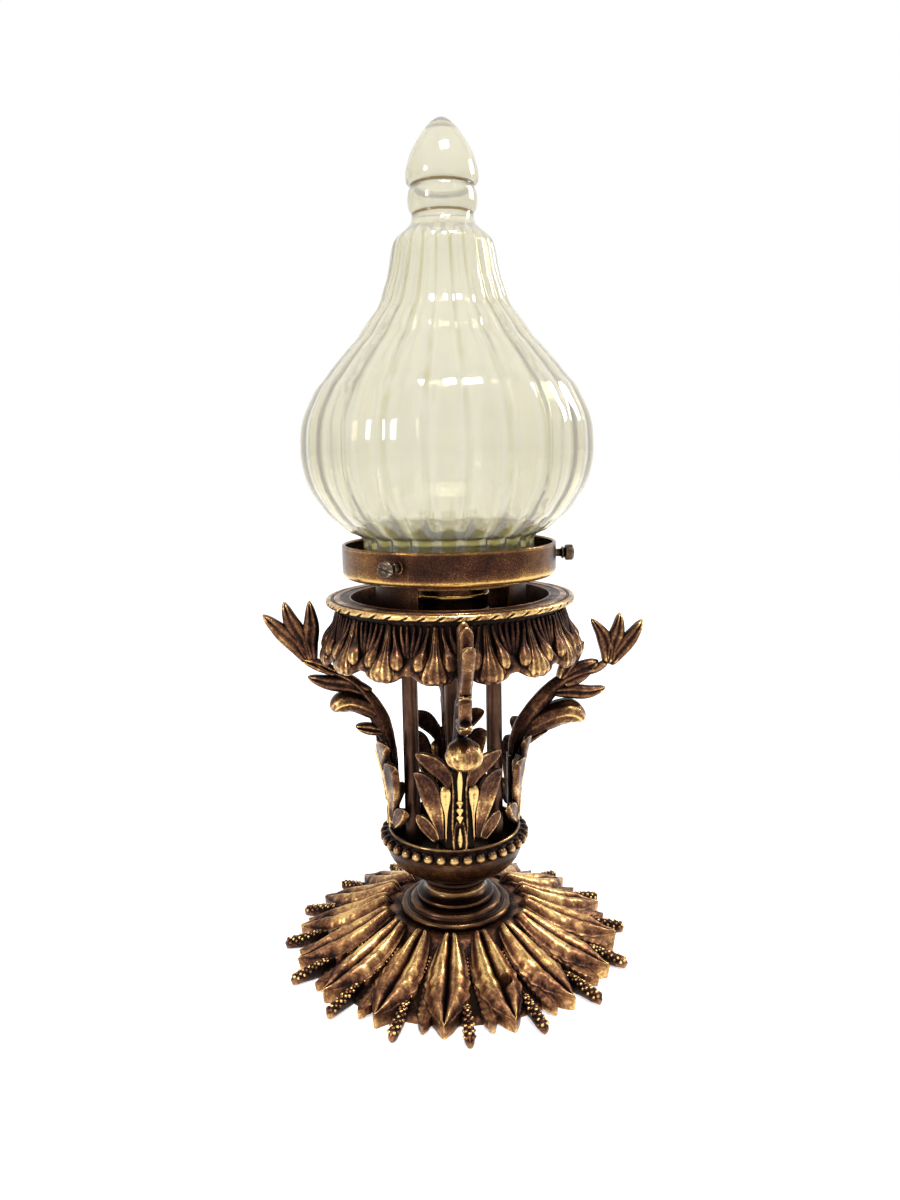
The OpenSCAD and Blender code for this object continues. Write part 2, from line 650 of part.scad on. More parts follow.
// Support rods
module support_rod(turn, wired) {
    foot_z = floor_z - rod_socket_d;
    tail = plate_t + rod_nut_h + 1.5;
    color(dark_bronze) rotate(turn) translate([rod_circle_r, 0, 0]) difference() {
        translate([0, 0, foot_z]) rotate_extrude($fn = 64) polygon([
            [rod_bore_d / 2, 0], [rod_d / 2, 0], [rod_d / 2, plate_z - foot_z - rod_head_h],
            [rod_d / 2 + 0.4, plate_z - foot_z - rod_head_h / 2],
            [rod_head_d / 2, plate_z - foot_z - 1.5], [rod_head_d / 2, plate_z - foot_z],
            [rod_tail_d / 2, plate_z - foot_z], [rod_tail_d / 2, plate_z - foot_z + tail],
            [rod_bore_d / 2, plate_z - foot_z + tail]
        ]);
        if (wired)
            for (z = [floor_z + 4, plate_z - rod_head_h - 6])
                translate([0, 0, z]) rotate([0, -90, 0]) cylinder(h = rod_d, d = wire_hole_d, $fn = 32);
    }
}

module rod_nuts() {
    color(steel) for (a = rods)
        rotate(a) translate([rod_circle_r, 0, plate_top_z]) difference() {
            cylinder(h = rod_nut_h, d = rod_nut_d, $fn = 6);
            translate([0, 0, -1]) cylinder(h = rod_nut_h + 2, d = rod_tail_d + 2 * fit_gap, $fn = 48);
        }
}

// Top plate and frame ring
module top_plate() {
    color(dark_bronze) translate([0, 0, plate_z]) linear_extrude(height = plate_t) difference() {
        union() {
            circle(r = plate_r);
            for (a = rods)
                rotate(a + 60) translate([0, -plate_arm_w / 2])
                    square([ring_screw_r + plate_screw_d + 1, plate_arm_w]);
        }
        circle(d = tube_d + 2 * fit_gap, $fn = 64);
        for (a = rods) {
            rotate(a) translate([rod_circle_r, 0]) circle(d = rod_tail_d + 2 * fit_gap, $fn = 48);
            rotate(a + 60) translate([ring_screw_r, 0]) circle(d = plate_screw_d + 2 * fit_gap, $fn = 32);
        }
    }
}

module frame_ring() {
    edge = ring_t / 2;
    color(bronze) difference() {
        translate([0, 0, plate_top_z]) rotate_extrude($fn = 128) {
            translate([ring_hole_r, ring_collar_h]) square([ring_r - ring_hole_r - edge, ring_t]);
            translate([ring_r - edge, ring_collar_h + edge]) circle(d = ring_t, $fn = 48);
            translate([ring_hole_r, 0]) square([ring_collar_t, ring_collar_h + 1]);
            translate([ring_hole_r - ring_flange_w, 0]) square([ring_flange_w + 1, ring_flange_t]);
        }
        for (k = [0:rope_count - 1])
            rotate(k * 360 / rope_count) translate([ring_r + 0.35, 0, ring_z + edge - 0.6]) rotate([40, 0, 0])
                cylinder(h = 2 * ring_t, r = rope_notch_r, center = true, $fn = 24);
        for (a = rods)
            rotate(a + 60) translate([ring_screw_r, 0, plate_top_z - 1])
                cylinder(h = 4, d = plate_screw_d + 2 * fit_gap, $fn = 32);
    }
}

module plate_screws() {
    head_h = 2;
    color(steel) for (a = rods)
        rotate(a + 60) translate([ring_screw_r, 0, plate_z - head_h]) {
            difference() {
                cylinder(h = head_h, d = 2 * plate_screw_d, $fn = 48);
                translate([-plate_screw_d - 1, -0.4, -1]) cube([2 * plate_screw_d + 2, 0.8, 1.8]);
            }
            cylinder(h = head_h + plate_t + ring_flange_t + 1, d = plate_screw_d, $fn = 32);
        }
}

// Leaf skirt
// Rings of the skirt, down its outer face and up its inner face, as [share of height, share of flare]
skirt_rows = [[0, 0], [0.2, 0.02], [0.4, 0.14], [0.56, 0.4], [0.7, 0.72], [0.82, 0.96], [0.93, 1], [1, 0.86]];

module leaf_skirt() {
    per_lobe = 8;
    n = skirt_lobes * per_lobe;
    rows = len(skirt_rows);
    points = [
        for (i = [0:2 * rows - 1], j = [0:n - 1])
            let (
                inner = i >= rows,
                row = skirt_rows[inner ? 2 * rows - 1 - i : i],
                phase = 360 * j / per_lobe,
                lobe = 0.5 - 0.5 * cos(phase),
                swell = ease(row[0] / 0.6),
                drop = skirt_h - skirt_notch_h * (1 - sqrt(lobe)) * swell,
                flute = 0.9 * cos(2 * phase) * bump(row[0], 0.45, 0.45),
                r = skirt_top_r + (skirt_r - skirt_top_r) * row[1] * (0.62 + 0.38 * lobe)
                    + flute - 0.9 * swell
                    - (inner ? skirt_t : 0) + 0.9 * swell * lobe,
                a = leaf_turn + j * 360 / n
            )
            [r * cos(a), r * sin(a), ring_z - (inner ? min(row[0], 0.94) : row[0]) * drop]
    ];
    color(bronze) polyhedron(points, quads(2 * rows, n));
}

// Gallery
// Wall of the drum between two heights above its underside
module drum_wall(low, high) {
    translate([drum_r - drum_t, low]) square([drum_t, high - low]);
}

// Drum below its windows, with its floor
module drum_base() {
    color(brass) translate([0, 0, plate_top_z]) rotate_extrude() {
        drum_wall(0, drum_sill);
        translate([drum_floor_r, 0]) square([drum_r - drum_t / 2 - drum_floor_r, drum_floor_t]);
    }
}

// Drum above its windows, with the ring that the gallery sits on
module drum_head() {
    color(brass) translate([0, 0, plate_top_z]) rotate_extrude() {
        drum_wall(drum_sill + window_h, drum_h);
        translate([gallery_hole_r, drum_h - drum_roof_t])
            square([drum_r - drum_t / 2 - gallery_hole_r, drum_roof_t]);
    }
}

// Wall between two windows
module drum_post(turn) {
    color(brass) rotate(window_turn + window_angle / 2 + turn) translate([0, 0, plate_top_z])
        rotate_extrude(angle = 120 - window_angle) drum_wall(drum_sill, drum_sill + window_h);
}

module gallery() {
    r = gallery_bend_r;
    color(brass) difference() {
        translate([0, 0, gallery_z]) rotate_extrude($fn = 128) {
            translate([gallery_hole_r, 0]) square([gallery_r - r - gallery_hole_r, gallery_t]);
            translate([gallery_r - gallery_t, r]) square([gallery_t, gallery_h - r - 0.6]);
            translate([gallery_r - r, r]) intersection() {
                difference() {
                    circle(r = r, $fn = 48);
                    circle(r = r - gallery_t, $fn = 48);
                }
                translate([0, -r]) square(r);
            }
            translate([gallery_r - 0.6, gallery_h - 0.6]) circle(r = 0.6, $fn = 24);
        }
        for (a = thumb_turns)
            rotate(thumb_turn + a) translate([gallery_r - 4, 0, thumb_z]) rotate([0, 90, 0])
                cylinder(h = 8, d = thumb_shank_d + 2 * fit_gap, $fn = 48);
    }
}

// A thumb screw, its tip just outside the bead of the shade's neck
module thumb_screw(turn) {
    neck_l = 1.6;
    head_l = thumb_head_l - neck_l;
    r = thumb_head_d / 2;
    color(steel) rotate(thumb_turn + turn) translate([tip_r, 0, thumb_z]) rotate([0, 90, 0]) difference() {
        rotate_extrude($fn = 48) polygon([
            [0, 0], [thumb_shank_d / 2 - 0.5, 0], [thumb_shank_d / 2, 0.5],
            [thumb_shank_d / 2, thumb_shank_l],
            [thumb_shank_d / 2 + 0.9, thumb_shank_l + 0.2],
            [thumb_shank_d / 2 + 0.9, thumb_shank_l + neck_l - 0.2],
            [r - 0.5, thumb_shank_l + neck_l], [r, thumb_shank_l + neck_l + 0.5],
            [r, thumb_shank_l + neck_l + head_l - 1.1], [r - 0.6, thumb_shank_l + neck_l + head_l - 0.4],
            [r - 1.6, thumb_shank_l + neck_l + head_l], [0, thumb_shank_l + neck_l + head_l]
        ]);
        translate([-r, -thumb_slot_w / 2, thumb_shank_l + thumb_head_l - 1])
            cube([2 * r, thumb_slot_w, 2]);
    }
}

// Glass shade
// Lower half of the onion: from the neck out to the belly, as [radius, height above the foot]
function shade_low(neck, belly) = [
    for (a = [0:7.5:82.5])
        let (u = cos(a))
        [neck + (belly - neck) * pow(1 - pow(u, 1.8), 0.556),
            shade_belly_h - (shade_belly_h - shade_neck_h) * u]
];
// Upper half of the onion: from the belly in to the shoulder
function shade_high(belly, shoulder) =
    let (rise = shade_shoulder_h - shade_belly_h, h = shade_belly_h)
    let (p = [[belly, h], [belly, h + 0.37 * rise], [shoulder + 3.4, h + 0.52 * rise], [shoulder, h + rise]])
    [for (i = [0:18]) bezier(p, i / 18)];

// Shoulder, groove, ring and bud of the finial, as shares of its height
function finial_curve(d) =
    let (h0 = shade_shoulder_h, g = finial_groove_r - d, ring = finial_ring_r - d, bud = finial_bud_r - d)
    let (p = [
        [shade_shoulder_r - d, h0], [shade_shoulder_r - d - 1.4, h0 + 0.06 * finial_h],
        [g + 3.4, h0 + 0.13 * finial_h], [g + 0.7, h0 + 0.19 * finial_h], [g, h0 + 0.25 * finial_h],
        [ring - 0.6, h0 + 0.31 * finial_h], [ring, h0 + 0.365 * finial_h],
        [ring - 0.7, h0 + 0.42 * finial_h],
        [g + 0.9, h0 + 0.465 * finial_h], [bud - 0.5, h0 + 0.505 * finial_h], [bud, h0 + 0.54 * finial_h]
    ])
    [for (i = [1:2 * (len(p) - 1)]) through(p, i / 2)];

// The bud, from its widest place to its tip at height h1
function bud_curve(d, h1) =
    let (h0 = shade_shoulder_h + 0.54 * finial_h, h = h1 - h0, r = finial_bud_r - d)
    let (p = [[r, h0], [r - 0.6, h0 + 0.42 * h], [0.36 * r, h0 + 0.93 * h], [0, h0 + h]])
    [for (i = [1:10]) bezier(p, i / 10)];

module glass_shade() {
    t = shade_t;
    tip = shade_shoulder_h + finial_h;
    outer = concat(
        [for (a = [-90:30:90]) [shade_neck_r - 0.6, 1.5] + [(0.6 + shade_bead) * cos(a), 1.5 * sin(a)]],
        [[shade_neck_r, 4.4]],
        shade_low(shade_neck_r, shade_belly_r), shade_high(shade_belly_r, shade_shoulder_r),
        finial_curve(0), bud_curve(0, tip)
    );
    inner = concat(
        [[shade_neck_r - t, 1.2]],
        shade_low(shade_neck_r - t, shade_belly_r - t), shade_high(shade_belly_r - t, shade_shoulder_r - t),
        finial_curve(1.3 * t), bud_curve(1.3 * t, tip - 2 * t)
    );
    color(glass, 0.45) translate([0, 0, shade_z]) rotate_extrude($fn = 128)
        polygon(concat(outer, [for (i = [len(inner) - 1:-1:0]) inner[i]]));
}

// Lampholder
module holder_tube() {
    low = tube_tail + nut_h;
    color(brass) translate([0, 0, plate_z - low]) rotate_extrude($fn = 64)
        translate([tube_bore_d / 2, 0]) square([(tube_d - tube_bore_d) / 2, low + plate_t + holder_tube_h]);
}

module big_nut(z) {
    color(brass) translate([0, 0, z]) difference() {
        cylinder(h = nut_h, d = nut_d, $fn = 6);
        translate([0, 0, -1]) cylinder(h = nut_h + 2, d = tube_d + 2 * fit_gap, $fn = 64);
    }
}

module holder_nut() {
    big_nut(plate_z - nut_h);
}

module lampholder_cap() {
    bore = tube_d / 2 + fit_gap;
    wall = 1.4;
    foot = 2;
    rise = cap_h - foot - 1.5;
    color(brass) translate([0, 0, cap_z]) rotate_extrude() polygon(concat(
        [[bore, 0], [bore + 4, 0]],
        [for (a = [0:15:90]) [bore + 4 + (holder_r - bore - 4) * sin(a), foot + rise * (1 - cos(a))]],
        [[holder_r, cap_h], [holder_r - wall, cap_h]],
        [for (a = [90:-15:0]) [bore + 3 + (holder_r - bore - 3 - wall) * sin(a),
            foot + wall + (rise - wall) * (1 - cos(a))]],
        [[bore, foot + wall]]
    ));
}

module lampholder_shell() {
    color(brass) translate([0, 0, shell_z]) rotate_extrude() polygon([
        [holder_r - shell_t, 0], [holder_r + 0.6, 0], [holder_r + 0.6, 2.4], [holder_r, 3],
        [holder_r, shell_h - 1], [holder_r - 0.6, shell_h], [socket_r + socket_t + 0.2, shell_h],
        [socket_r + socket_t + 0.2, shell_h - shell_t], [holder_r - shell_t, shell_h - shell_t]
    ]);
}

module porcelain_insert() {
    wall_in = socket_r + socket_t + 0.1;
    color(porcelain) translate([0, 0, shell_z]) difference() {
        union() {
            cylinder(h = insert_base_h, r = holder_r - shell_t - 0.3);
            translate([0, 0, insert_base_h - eps])
                cylinder(h = socket_h - 2, r = wall_in + 2.6);
        }
        translate([0, 0, insert_base_h]) cylinder(h = socket_h, r = wall_in);
        translate([0, 0, -1]) cylinder(h = insert_base_h + 2, d = 6, $fn = 48);
        translate([0, 0, insert_base_h - contact_h]) cylinder(h = contact_h + 1, d = contact_d + 0.4, $fn = 48);
        for (s = [-1, 1])
            translate([s * insert_screw_r, 0, -1]) cylinder(h = insert_base_h + 2, d = 3.4, $fn = 32);
    }
}

module bulb_screw_shell() {
    color(brass) translate([0, 0, socket_z]) difference() {
        cylinder(h = socket_h, r = socket_r + socket_t);
        translate([0, 0, -1]) cylinder(h = socket_h + 2, r = socket_r);
    }
}

module centre_contact() {
    color(brass) translate([0, 0, shell_z + 1]) {
        cylinder(h = insert_base_h - 1.2, d = contact_pin_d, $fn = 48);
        translate([0, 0, insert_base_h - 1 - contact_h]) cylinder(h = contact_h - 0.2, d = contact_d, $fn = 48);
    }
}

// Tube, washers and nuts of the stem
module stem_tube() {
    low = rose_crown_h - rose_wall - washer_t - nut_h - 3;
    high = floor_z + washer_t + nut_h + 2;
    color(brass) translate([0, 0, low]) rotate_extrude($fn = 64)
        translate([tube_bore_d / 2, 0]) square([(tube_d - tube_bore_d) / 2, high - low]);
}

module washer(z, r) {
    color(brass) translate([0, 0, z]) difference() {
        cylinder(h = washer_t, r = r);
        translate([0, 0, -1]) cylinder(h = washer_t + 2, d = tube_d + 2 * fit_gap, $fn = 64);
    }
}

module rose_washer() {
    washer(rose_crown_h - rose_wall - washer_t, washer_r);
}

module rose_nut() {
    big_nut(rose_crown_h - rose_wall - washer_t - nut_h);
}

module bowl_washer() {
    washer(floor_z, nut_d / 2 + 1.5);
}

module bowl_nut() {
    big_nut(floor_z + washer_t);
}

ceiling_rose();
rose_flange();
stem_neck();
bowl();
bead_collar();
acanthus_leaf(arm_turns[0]);  // acanthus_leaf_right
acanthus_leaf(arm_turns[1]);  // acanthus_leaf_back
acanthus_leaf(arm_turns[2]);  // acanthus_leaf_left
acanthus_leaf(arm_turns[3]);  // acanthus_leaf_front
leaf_branch(arm_turns[0], branch_right, leaves_right, curl_right);  // leaf_branch_right
leaf_branch(arm_turns[1], branch_left, leaves_left, curl_left);  // leaf_branch_back
leaf_branch(arm_turns[2], branch_left, leaves_left, curl_left);  // leaf_branch_left
leaf_branch(arm_turns[3], branch_front, leaves_front, curl_right);  // leaf_branch_front
leaf_screws();
support_rod(rods[0], true);  // wire_rod_back
support_rod(rods[1], false);  // support_rod_left
support_rod(rods[2], false);  // support_rod_right
rod_nuts();
top_plate();
frame_ring();
leaf_skirt();
plate_screws();
drum_base();
drum_post(thumb_turns[0]);  // drum_post_right
drum_post(thumb_turns[1]);  // drum_post_back
drum_post(thumb_turns[2]);  // drum_post_left
drum_head();
gallery();
thumb_screw(thumb_turns[0]);  // thumb_screw_right
thumb_screw(thumb_turns[1]);  // thumb_screw_back
thumb_screw(thumb_turns[2]);  // thumb_screw_left
glass_shade();
holder_tube();
holder_nut();
lampholder_cap();
lampholder_shell();
porcelain_insert();
bulb_screw_shell();
centre_contact();
stem_tube();
rose_washer();
rose_nut();
bowl_washer();
bowl_nut();
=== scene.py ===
"""Short rigid ceiling lamp in aged gilt bronze with a ribbed onion-shaped glass shade.

The lamp stands on its leafy ceiling plate. Sizes are in millimetres until a form is handed
to Blender, which works in metres, and +Z runs from the ceiling plate to the tip of the glass.
"""
import functools
import logging
import math
from dataclasses import dataclass, field
from enum import Enum
from typing import Callable, Iterable, Sequence

import bmesh
import bpy
import numpy as np
from mathutils import Matrix, Vector, noise
from mathutils.bvhtree import BVHTree


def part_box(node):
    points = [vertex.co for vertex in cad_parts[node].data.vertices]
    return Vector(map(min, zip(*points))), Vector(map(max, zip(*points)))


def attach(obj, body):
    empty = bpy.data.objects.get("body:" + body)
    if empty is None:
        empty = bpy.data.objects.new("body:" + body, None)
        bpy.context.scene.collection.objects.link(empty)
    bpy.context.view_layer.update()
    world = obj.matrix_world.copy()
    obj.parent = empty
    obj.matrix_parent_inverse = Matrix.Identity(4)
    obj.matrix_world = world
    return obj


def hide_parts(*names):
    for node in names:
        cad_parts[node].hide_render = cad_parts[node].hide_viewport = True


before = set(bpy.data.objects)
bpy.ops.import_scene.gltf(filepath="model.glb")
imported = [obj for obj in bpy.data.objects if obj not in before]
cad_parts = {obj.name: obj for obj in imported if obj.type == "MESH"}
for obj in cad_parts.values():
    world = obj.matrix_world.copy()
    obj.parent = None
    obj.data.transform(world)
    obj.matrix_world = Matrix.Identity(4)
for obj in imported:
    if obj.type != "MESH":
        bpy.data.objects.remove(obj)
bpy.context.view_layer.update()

LOG = logging.getLogger("lamp")
MM = 0.001
Point = tuple[float, float]
Colour = tuple[float, float, float]
Place = Callable[[float, float, float], Vector]


# ---------------------------------------------------------------- measures and curves


def ease(x: float) -> float:
    """Rounded step from 0 at x = 0 to 1 at x = 1."""
    x = min(1.0, max(0.0, x))
    return x * x * (3 - 2 * x)


def mix(a: float, b: float, t: float) -> float:
    """Value at share t of the way from a to b."""
    return a + (b - a) * t


def bump(x: float, centre: float, width: float) -> float:
    """Rounded bump of height 1 at a centre, gone at a width to either side."""
    return max(0.0, 1 - ((x - centre) / width) ** 2)


def keyed(keys: Sequence[Point], x: float) -> float:
    """Reads a measure from a list of (place, value) pairs, rounded between them.

    Args:
        keys: pairs in rising order of place.
        x: the place to read at.

    Returns:
        The value on the smooth curve through the pairs.
    """
    if x <= keys[0][0]:
        return keys[0][1]
    if x >= keys[-1][0]:
        return keys[-1][1]
    i = next(n for n in range(len(keys) - 1) if x <= keys[n + 1][0])
    (x0, y0), (x1, y1) = keys[i], keys[i + 1]
    before = keys[i - 1] if i else (2 * x0 - x1, 2 * y0 - y1)
    after = keys[i + 2] if i + 2 < len(keys) else (2 * x1 - x0, 2 * y1 - y0)
    width = x1 - x0
    slope0 = (y1 - before[1]) / (x1 - before[0]) * width
    slope1 = (after[1] - y0) / (after[0] - x0) * width
    t = (x - x0) / width
    return ((2 * t ** 3 - 3 * t ** 2 + 1) * y0 + (t ** 3 - 2 * t ** 2 + t) * slope0
            + (3 * t ** 2 - 2 * t ** 3) * y1 + (t ** 3 - t ** 2) * slope1)


def course(points: Sequence[Sequence[float]], t: float) -> Vector:
    """Point of the smooth curve through some points.

    Args:
        points: the points that the curve passes, all of one dimension.
        t: share of the way, counted evenly from point to point.

    Returns:
        The place on the curve.
    """
    s = min(max(t, 0.0), 1.0) * (len(points) - 1)
    i = min(int(s), len(points) - 2)
    s -= i
    a, b, c, d = (Vector(points[min(max(i + k, 0), len(points) - 1)]) for k in (-1, 0, 1, 2))
    return b + 0.5 * s * (c - a + s * (2 * a - 5 * b + 4 * c - d + s * (3 * b - a - 3 * c + d)))


def polar(radius: float, angle: float, height: float) -> Vector:
    """Place in metres of a radius and height in millimetres at an angle in degrees."""
    a = math.radians(angle)
    return Vector((radius * math.cos(a), radius * math.sin(a), height)) * MM


def chased(place: Vector, depth: float = 0.16, pitch: float = 4.0) -> Vector:
    """Small uneven shift of a point, as a hand-chased casting has.

    Args:
        place: the point in metres.
        depth: largest shift in millimetres.
        pitch: distance between bumps in millimetres.

    Returns:
        The shift in metres.
    """
    at = place / (pitch * MM)
    return Vector((noise.noise(at), noise.noise(at + Vector((7, 3, 1))),
                   noise.noise(at + Vector((2, 9, 5))))) * depth * MM


@dataclass(frozen=True)
class Seat:
    """Heights and reach of a CAD node, which the piece that stands for it keeps."""

    low: float
    high: float
    reach: float

    @classmethod
    @functools.cache
    def of(cls, node: str) -> "Seat":
        """Reads the seat of a node from the frame, in millimetres."""
        low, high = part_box(node)
        return cls(low.z / MM, high.z / MM, max(high.x, -low.x, high.y, -low.y) / MM)


class Side(Enum):
    """The four places of a cup leaf and its branch, by direction in degrees from +X."""

    RIGHT = 4.6
    BACK = 94.6
    LEFT = 184.6
    FRONT = 274.6


# ---------------------------------------------------------------- forms


def turned(section: Sequence[Point], steps: int = 144, closed: bool = True) -> bmesh.types.BMesh:
    """Spins a section round the lamp's axis.

    Args:
        section: (radius, height) points in millimetres.
        steps: how many faces go round.
        closed: joins the last point to the first.

    Returns:
        The turned form.
    """
    bm = bmesh.new()
    verts = [bm.verts.new((max(r, 0.0) * MM, 0, z * MM)) for r, z in section]
    ends = verts[1:] + verts[:1] if closed else verts[1:]
    edges = [bm.edges.new(pair) for pair in zip(verts, ends)]
    bmesh.ops.spin(bm, geom=verts + edges, cent=(0, 0, 0), axis=(0, 0, 1),
                   angle=math.tau, steps=steps, use_merge=True)
    bmesh.ops.remove_doubles(bm, verts=bm.verts, dist=1e-6)
    bmesh.ops.recalc_face_normals(bm, faces=bm.faces)
    return bm


def rounded(section: Sequence[Point], radius: float = 0.4, cuts: int = 3) -> list[Point]:
    """Rounds the corners of a closed section.

    Args:
        section: (radius, height) points in millimetres.
        radius: how far from a corner its rounding starts, at most.
        cuts: pieces of each rounded corner.

    Returns:
        The section with a short curve at each corner.
    """
    done: list[Point] = []
    count = len(section)
    for i, corner in enumerate(section):
        here = Vector(corner)
        before, after = Vector(section[i - 1]) - here, Vector(section[(i + 1) % count]) - here
        if before.length < 1e-6 or after.length < 1e-6:
            continue
        if math.degrees(before.angle(-after)) < 12:
            done.append(corner)
            continue
        start = here + before.normalized() * min(radius, before.length * 0.45)
        end = here + after.normalized() * min(radius, after.length * 0.45)
        for k in range(cuts + 1):
            t = k / cuts
            done.append(tuple(start * (1 - t) ** 2 + here * 2 * t * (1 - t) + end * t * t))
    return done


def lofted(place: Place, around: int = 24, along: int = 20) -> bmesh.types.BMesh:
    """Shapes a ball into a closed long form, such as a leaf or a stem.

    Args:
        place: gives the point in metres at share t of the length, and at (x, y) on the unit
            circle of the cross section.
        around: points round the cross section.
        along: steps from end to end.

    Returns:
        The shaped form.
    """
    bm = bmesh.new()
    bmesh.ops.create_uvsphere(bm, u_segments=around, v_segments=along, radius=1.0)
    for v in bm.verts:
        t = math.acos(min(1.0, max(-1.0, -v.co.z))) / math.pi
        flat = math.hypot(v.co.x, v.co.y)
        x, y = (v.co.x / flat, v.co.y / flat) if flat > 1e-5 else (0.0, 0.0)
        v.co = place(t, x, y)
    if bm.calc_volume(signed=True) < 0:
        bmesh.ops.reverse_faces(bm, faces=bm.faces)
    return bm


@dataclass(frozen=True)
class Leaflet:
    """One pointed leaf of an ornament, drawn on the face that carries it.

    The face has its own flat measures in millimetres, and lay puts them into the lamp.
    """

    line: tuple[Point, ...]
    widths: tuple[Point, ...]
    front: float
    back: float
    crease: float = 0.35
    veins: int = 0
    rim: float = 0.0
    midrib: float = 0.0
    roundness: float = 0.7
    around: int = 20
    along: int = 22

    def form(self, lay: Callable[[float, float, float], Vector]) -> bmesh.types.BMesh:
        """Makes the leaf.

        Args:
            lay: gives the place in metres of two measures on the face and a height above it.

        Returns:
            The closed leaf.
        """
        def place(t: float, x: float, y: float) -> Vector:
            here = course(self.line, t)
            ahead = course(self.line, min(1, t + 0.02)) - course(self.line, max(0, t - 0.02))
            across = Vector((ahead.y, -ahead.x)).normalized() * keyed(self.widths, t)
            spot = here + across * x
            rise = ease(t / 0.14) * ease((1 - t) / 0.14) * 0.75 + 0.25
            dip = self.crease * bump(x, 0.0, 0.3)
            if self.rim:
                dip += self.rim * (1 - ease((abs(x) - 0.45) / 0.4)) * (1 - self.midrib * bump(x, 0.0, 0.16))
            if self.veins:
                dip += 0.12 * (1 + math.cos(2 * math.pi * self.veins * x)) * (1 - abs(x))
            depth = abs(y) ** self.roundness * (1 - dip) * rise
            at = lay(spot.x, spot.y, depth * self.front if y > 0 else -depth * self.back)
            return at + chased(at, 0.16, 3.0) * (1 - abs(x) ** 4)
        return lofted(place, self.around, self.along)


def tube(points: Sequence[Sequence[float]], lay: Callable[[float, float, float], Vector], flutes: int = 0,
         depth: float = 0.0, around: int = 32, along: int = 40) -> bmesh.types.BMesh:
    """Solid long form that follows a line on a face, round or oval in its cross section.

    Args:
        points: (first measure, second measure, half size in the face, half size across it).
        lay: gives the place in metres of two measures on the face and a height above it.
        flutes: how many grooves run along it.
        depth: depth of the grooves as a share of its size.
        around: points round the cross section.
        along: steps from end to end.

    Returns:
        The closed form.
    """
    def place(t: float, x: float, y: float) -> Vector:
        u, v, inside, across = course(points, t)
        ahead = course(points, min(1, t + 0.02)) - course(points, max(0, t - 0.02))
        side = Vector((ahead.y, -ahead.x)).normalized()
        grow = math.sqrt(max(0.0, 1 - (2 * t - 1) ** 14))
        grow *= 1 - depth * abs(math.cos(flutes / 2 * math.atan2(y, x))) if flutes else 1
        at = lay(u + side.x * x * inside * grow, v + side.y * x * inside * grow, y * across * grow)
        return at + chased(at, 0.12, 3.0)
    return lofted(place, around, along)


def bead(centre: Vector, radius: float, flat: float = 1.0, segments: int = 12) -> bmesh.types.BMesh:
    """Round bead.

    Args:
        centre: its middle in metres.
        radius: its radius in millimetres.
        flat: its height as a share of its width.
        segments: faces round it.

    Returns:
        The bead.
    """
    bm = bmesh.new()
    bmesh.ops.create_uvsphere(bm, u_segments=segments, v_segments=max(5, segments * 2 // 3),
                              radius=radius * MM, matrix=Matrix.Translation(centre)
                              @ Matrix.Diagonal((1, 1, flat, 1)))
    return bm


class Casting:
    """A piece in the making, to which forms are added until it is finished."""

    def __init__(self) -> None:
        """Starts with nothing in it."""
        self.bm = bmesh.new()
        self.bm.verts.layers.float.new("gilding")

    def add(self, form: bmesh.types.BMesh, turns: Iterable[float] = (0.0,),
            gilding: float | Callable[[Vector], float] = 0.0) -> "Casting":
        """Adds a form, once for each turn round the axis.

        Args:
            form: the form, which is used up.
            turns: directions in degrees.
            gilding: how much lighter than usual it is, as more gold left on it and in places as painted highlight, or
                that by place in metres.

        Returns:
            The casting itself.
        """
        layer = form.verts.layers.float.new("gilding")
        for v in form.verts:
            v[layer] = gilding(v.co) if callable(gilding) else gilding
        mesh = bpy.data.meshes.new("form")
        form.to_mesh(mesh)
        form.free()
        done = 0.0
        for turn in turns:
            mesh.transform(Matrix.Rotation(math.radians(turn - done), 4, "Z"))
            done = turn
            self.bm.from_mesh(mesh)
        bpy.data.meshes.remove(mesh)
        return self

    def merge(self, other: "Casting") -> "Casting":
        """Takes over the forms of another casting, as they are."""
        mesh = bpy.data.meshes.new("form")
        other.bm.to_mesh(mesh)
        other.bm.free()
        self.bm.from_mesh(mesh)
        bpy.data.meshes.remove(mesh)
        return self

    def finish(self, name: str, finish: "Metal | Glass | Glaze", body: str = "root",
               stands_for: Iterable[str] = (), sharp: float = 40.0) -> bpy.types.Object:
        """Makes the casting an object of the lamp.

        Args:
            name: what the piece is.
            finish: its material.
            body: the body that it rides on.
            stands_for: CAD nodes that it replaces.
            sharp: edges bent by more than this many degrees stay crisp.

        Returns:
            The finished piece.
        """
        mesh = bpy.data.meshes.new(name)
        self.bm.to_mesh(mesh)
        self.bm.free()
        mesh.shade_smooth()
        mesh.set_sharp_from_angle(angle=math.radians(sharp))
        mesh.materials.append(finish.material())
        piece = bpy.data.objects.new(name, mesh)
        bpy.context.scene.collection.objects.link(piece)
        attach(piece, body)
        names = list(stands_for)
        if names:
            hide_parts(*names)
        LOG.info("%s: %d faces", name, len(mesh.polygons))
        return piece


# ---------------------------------------------------------------- finishes


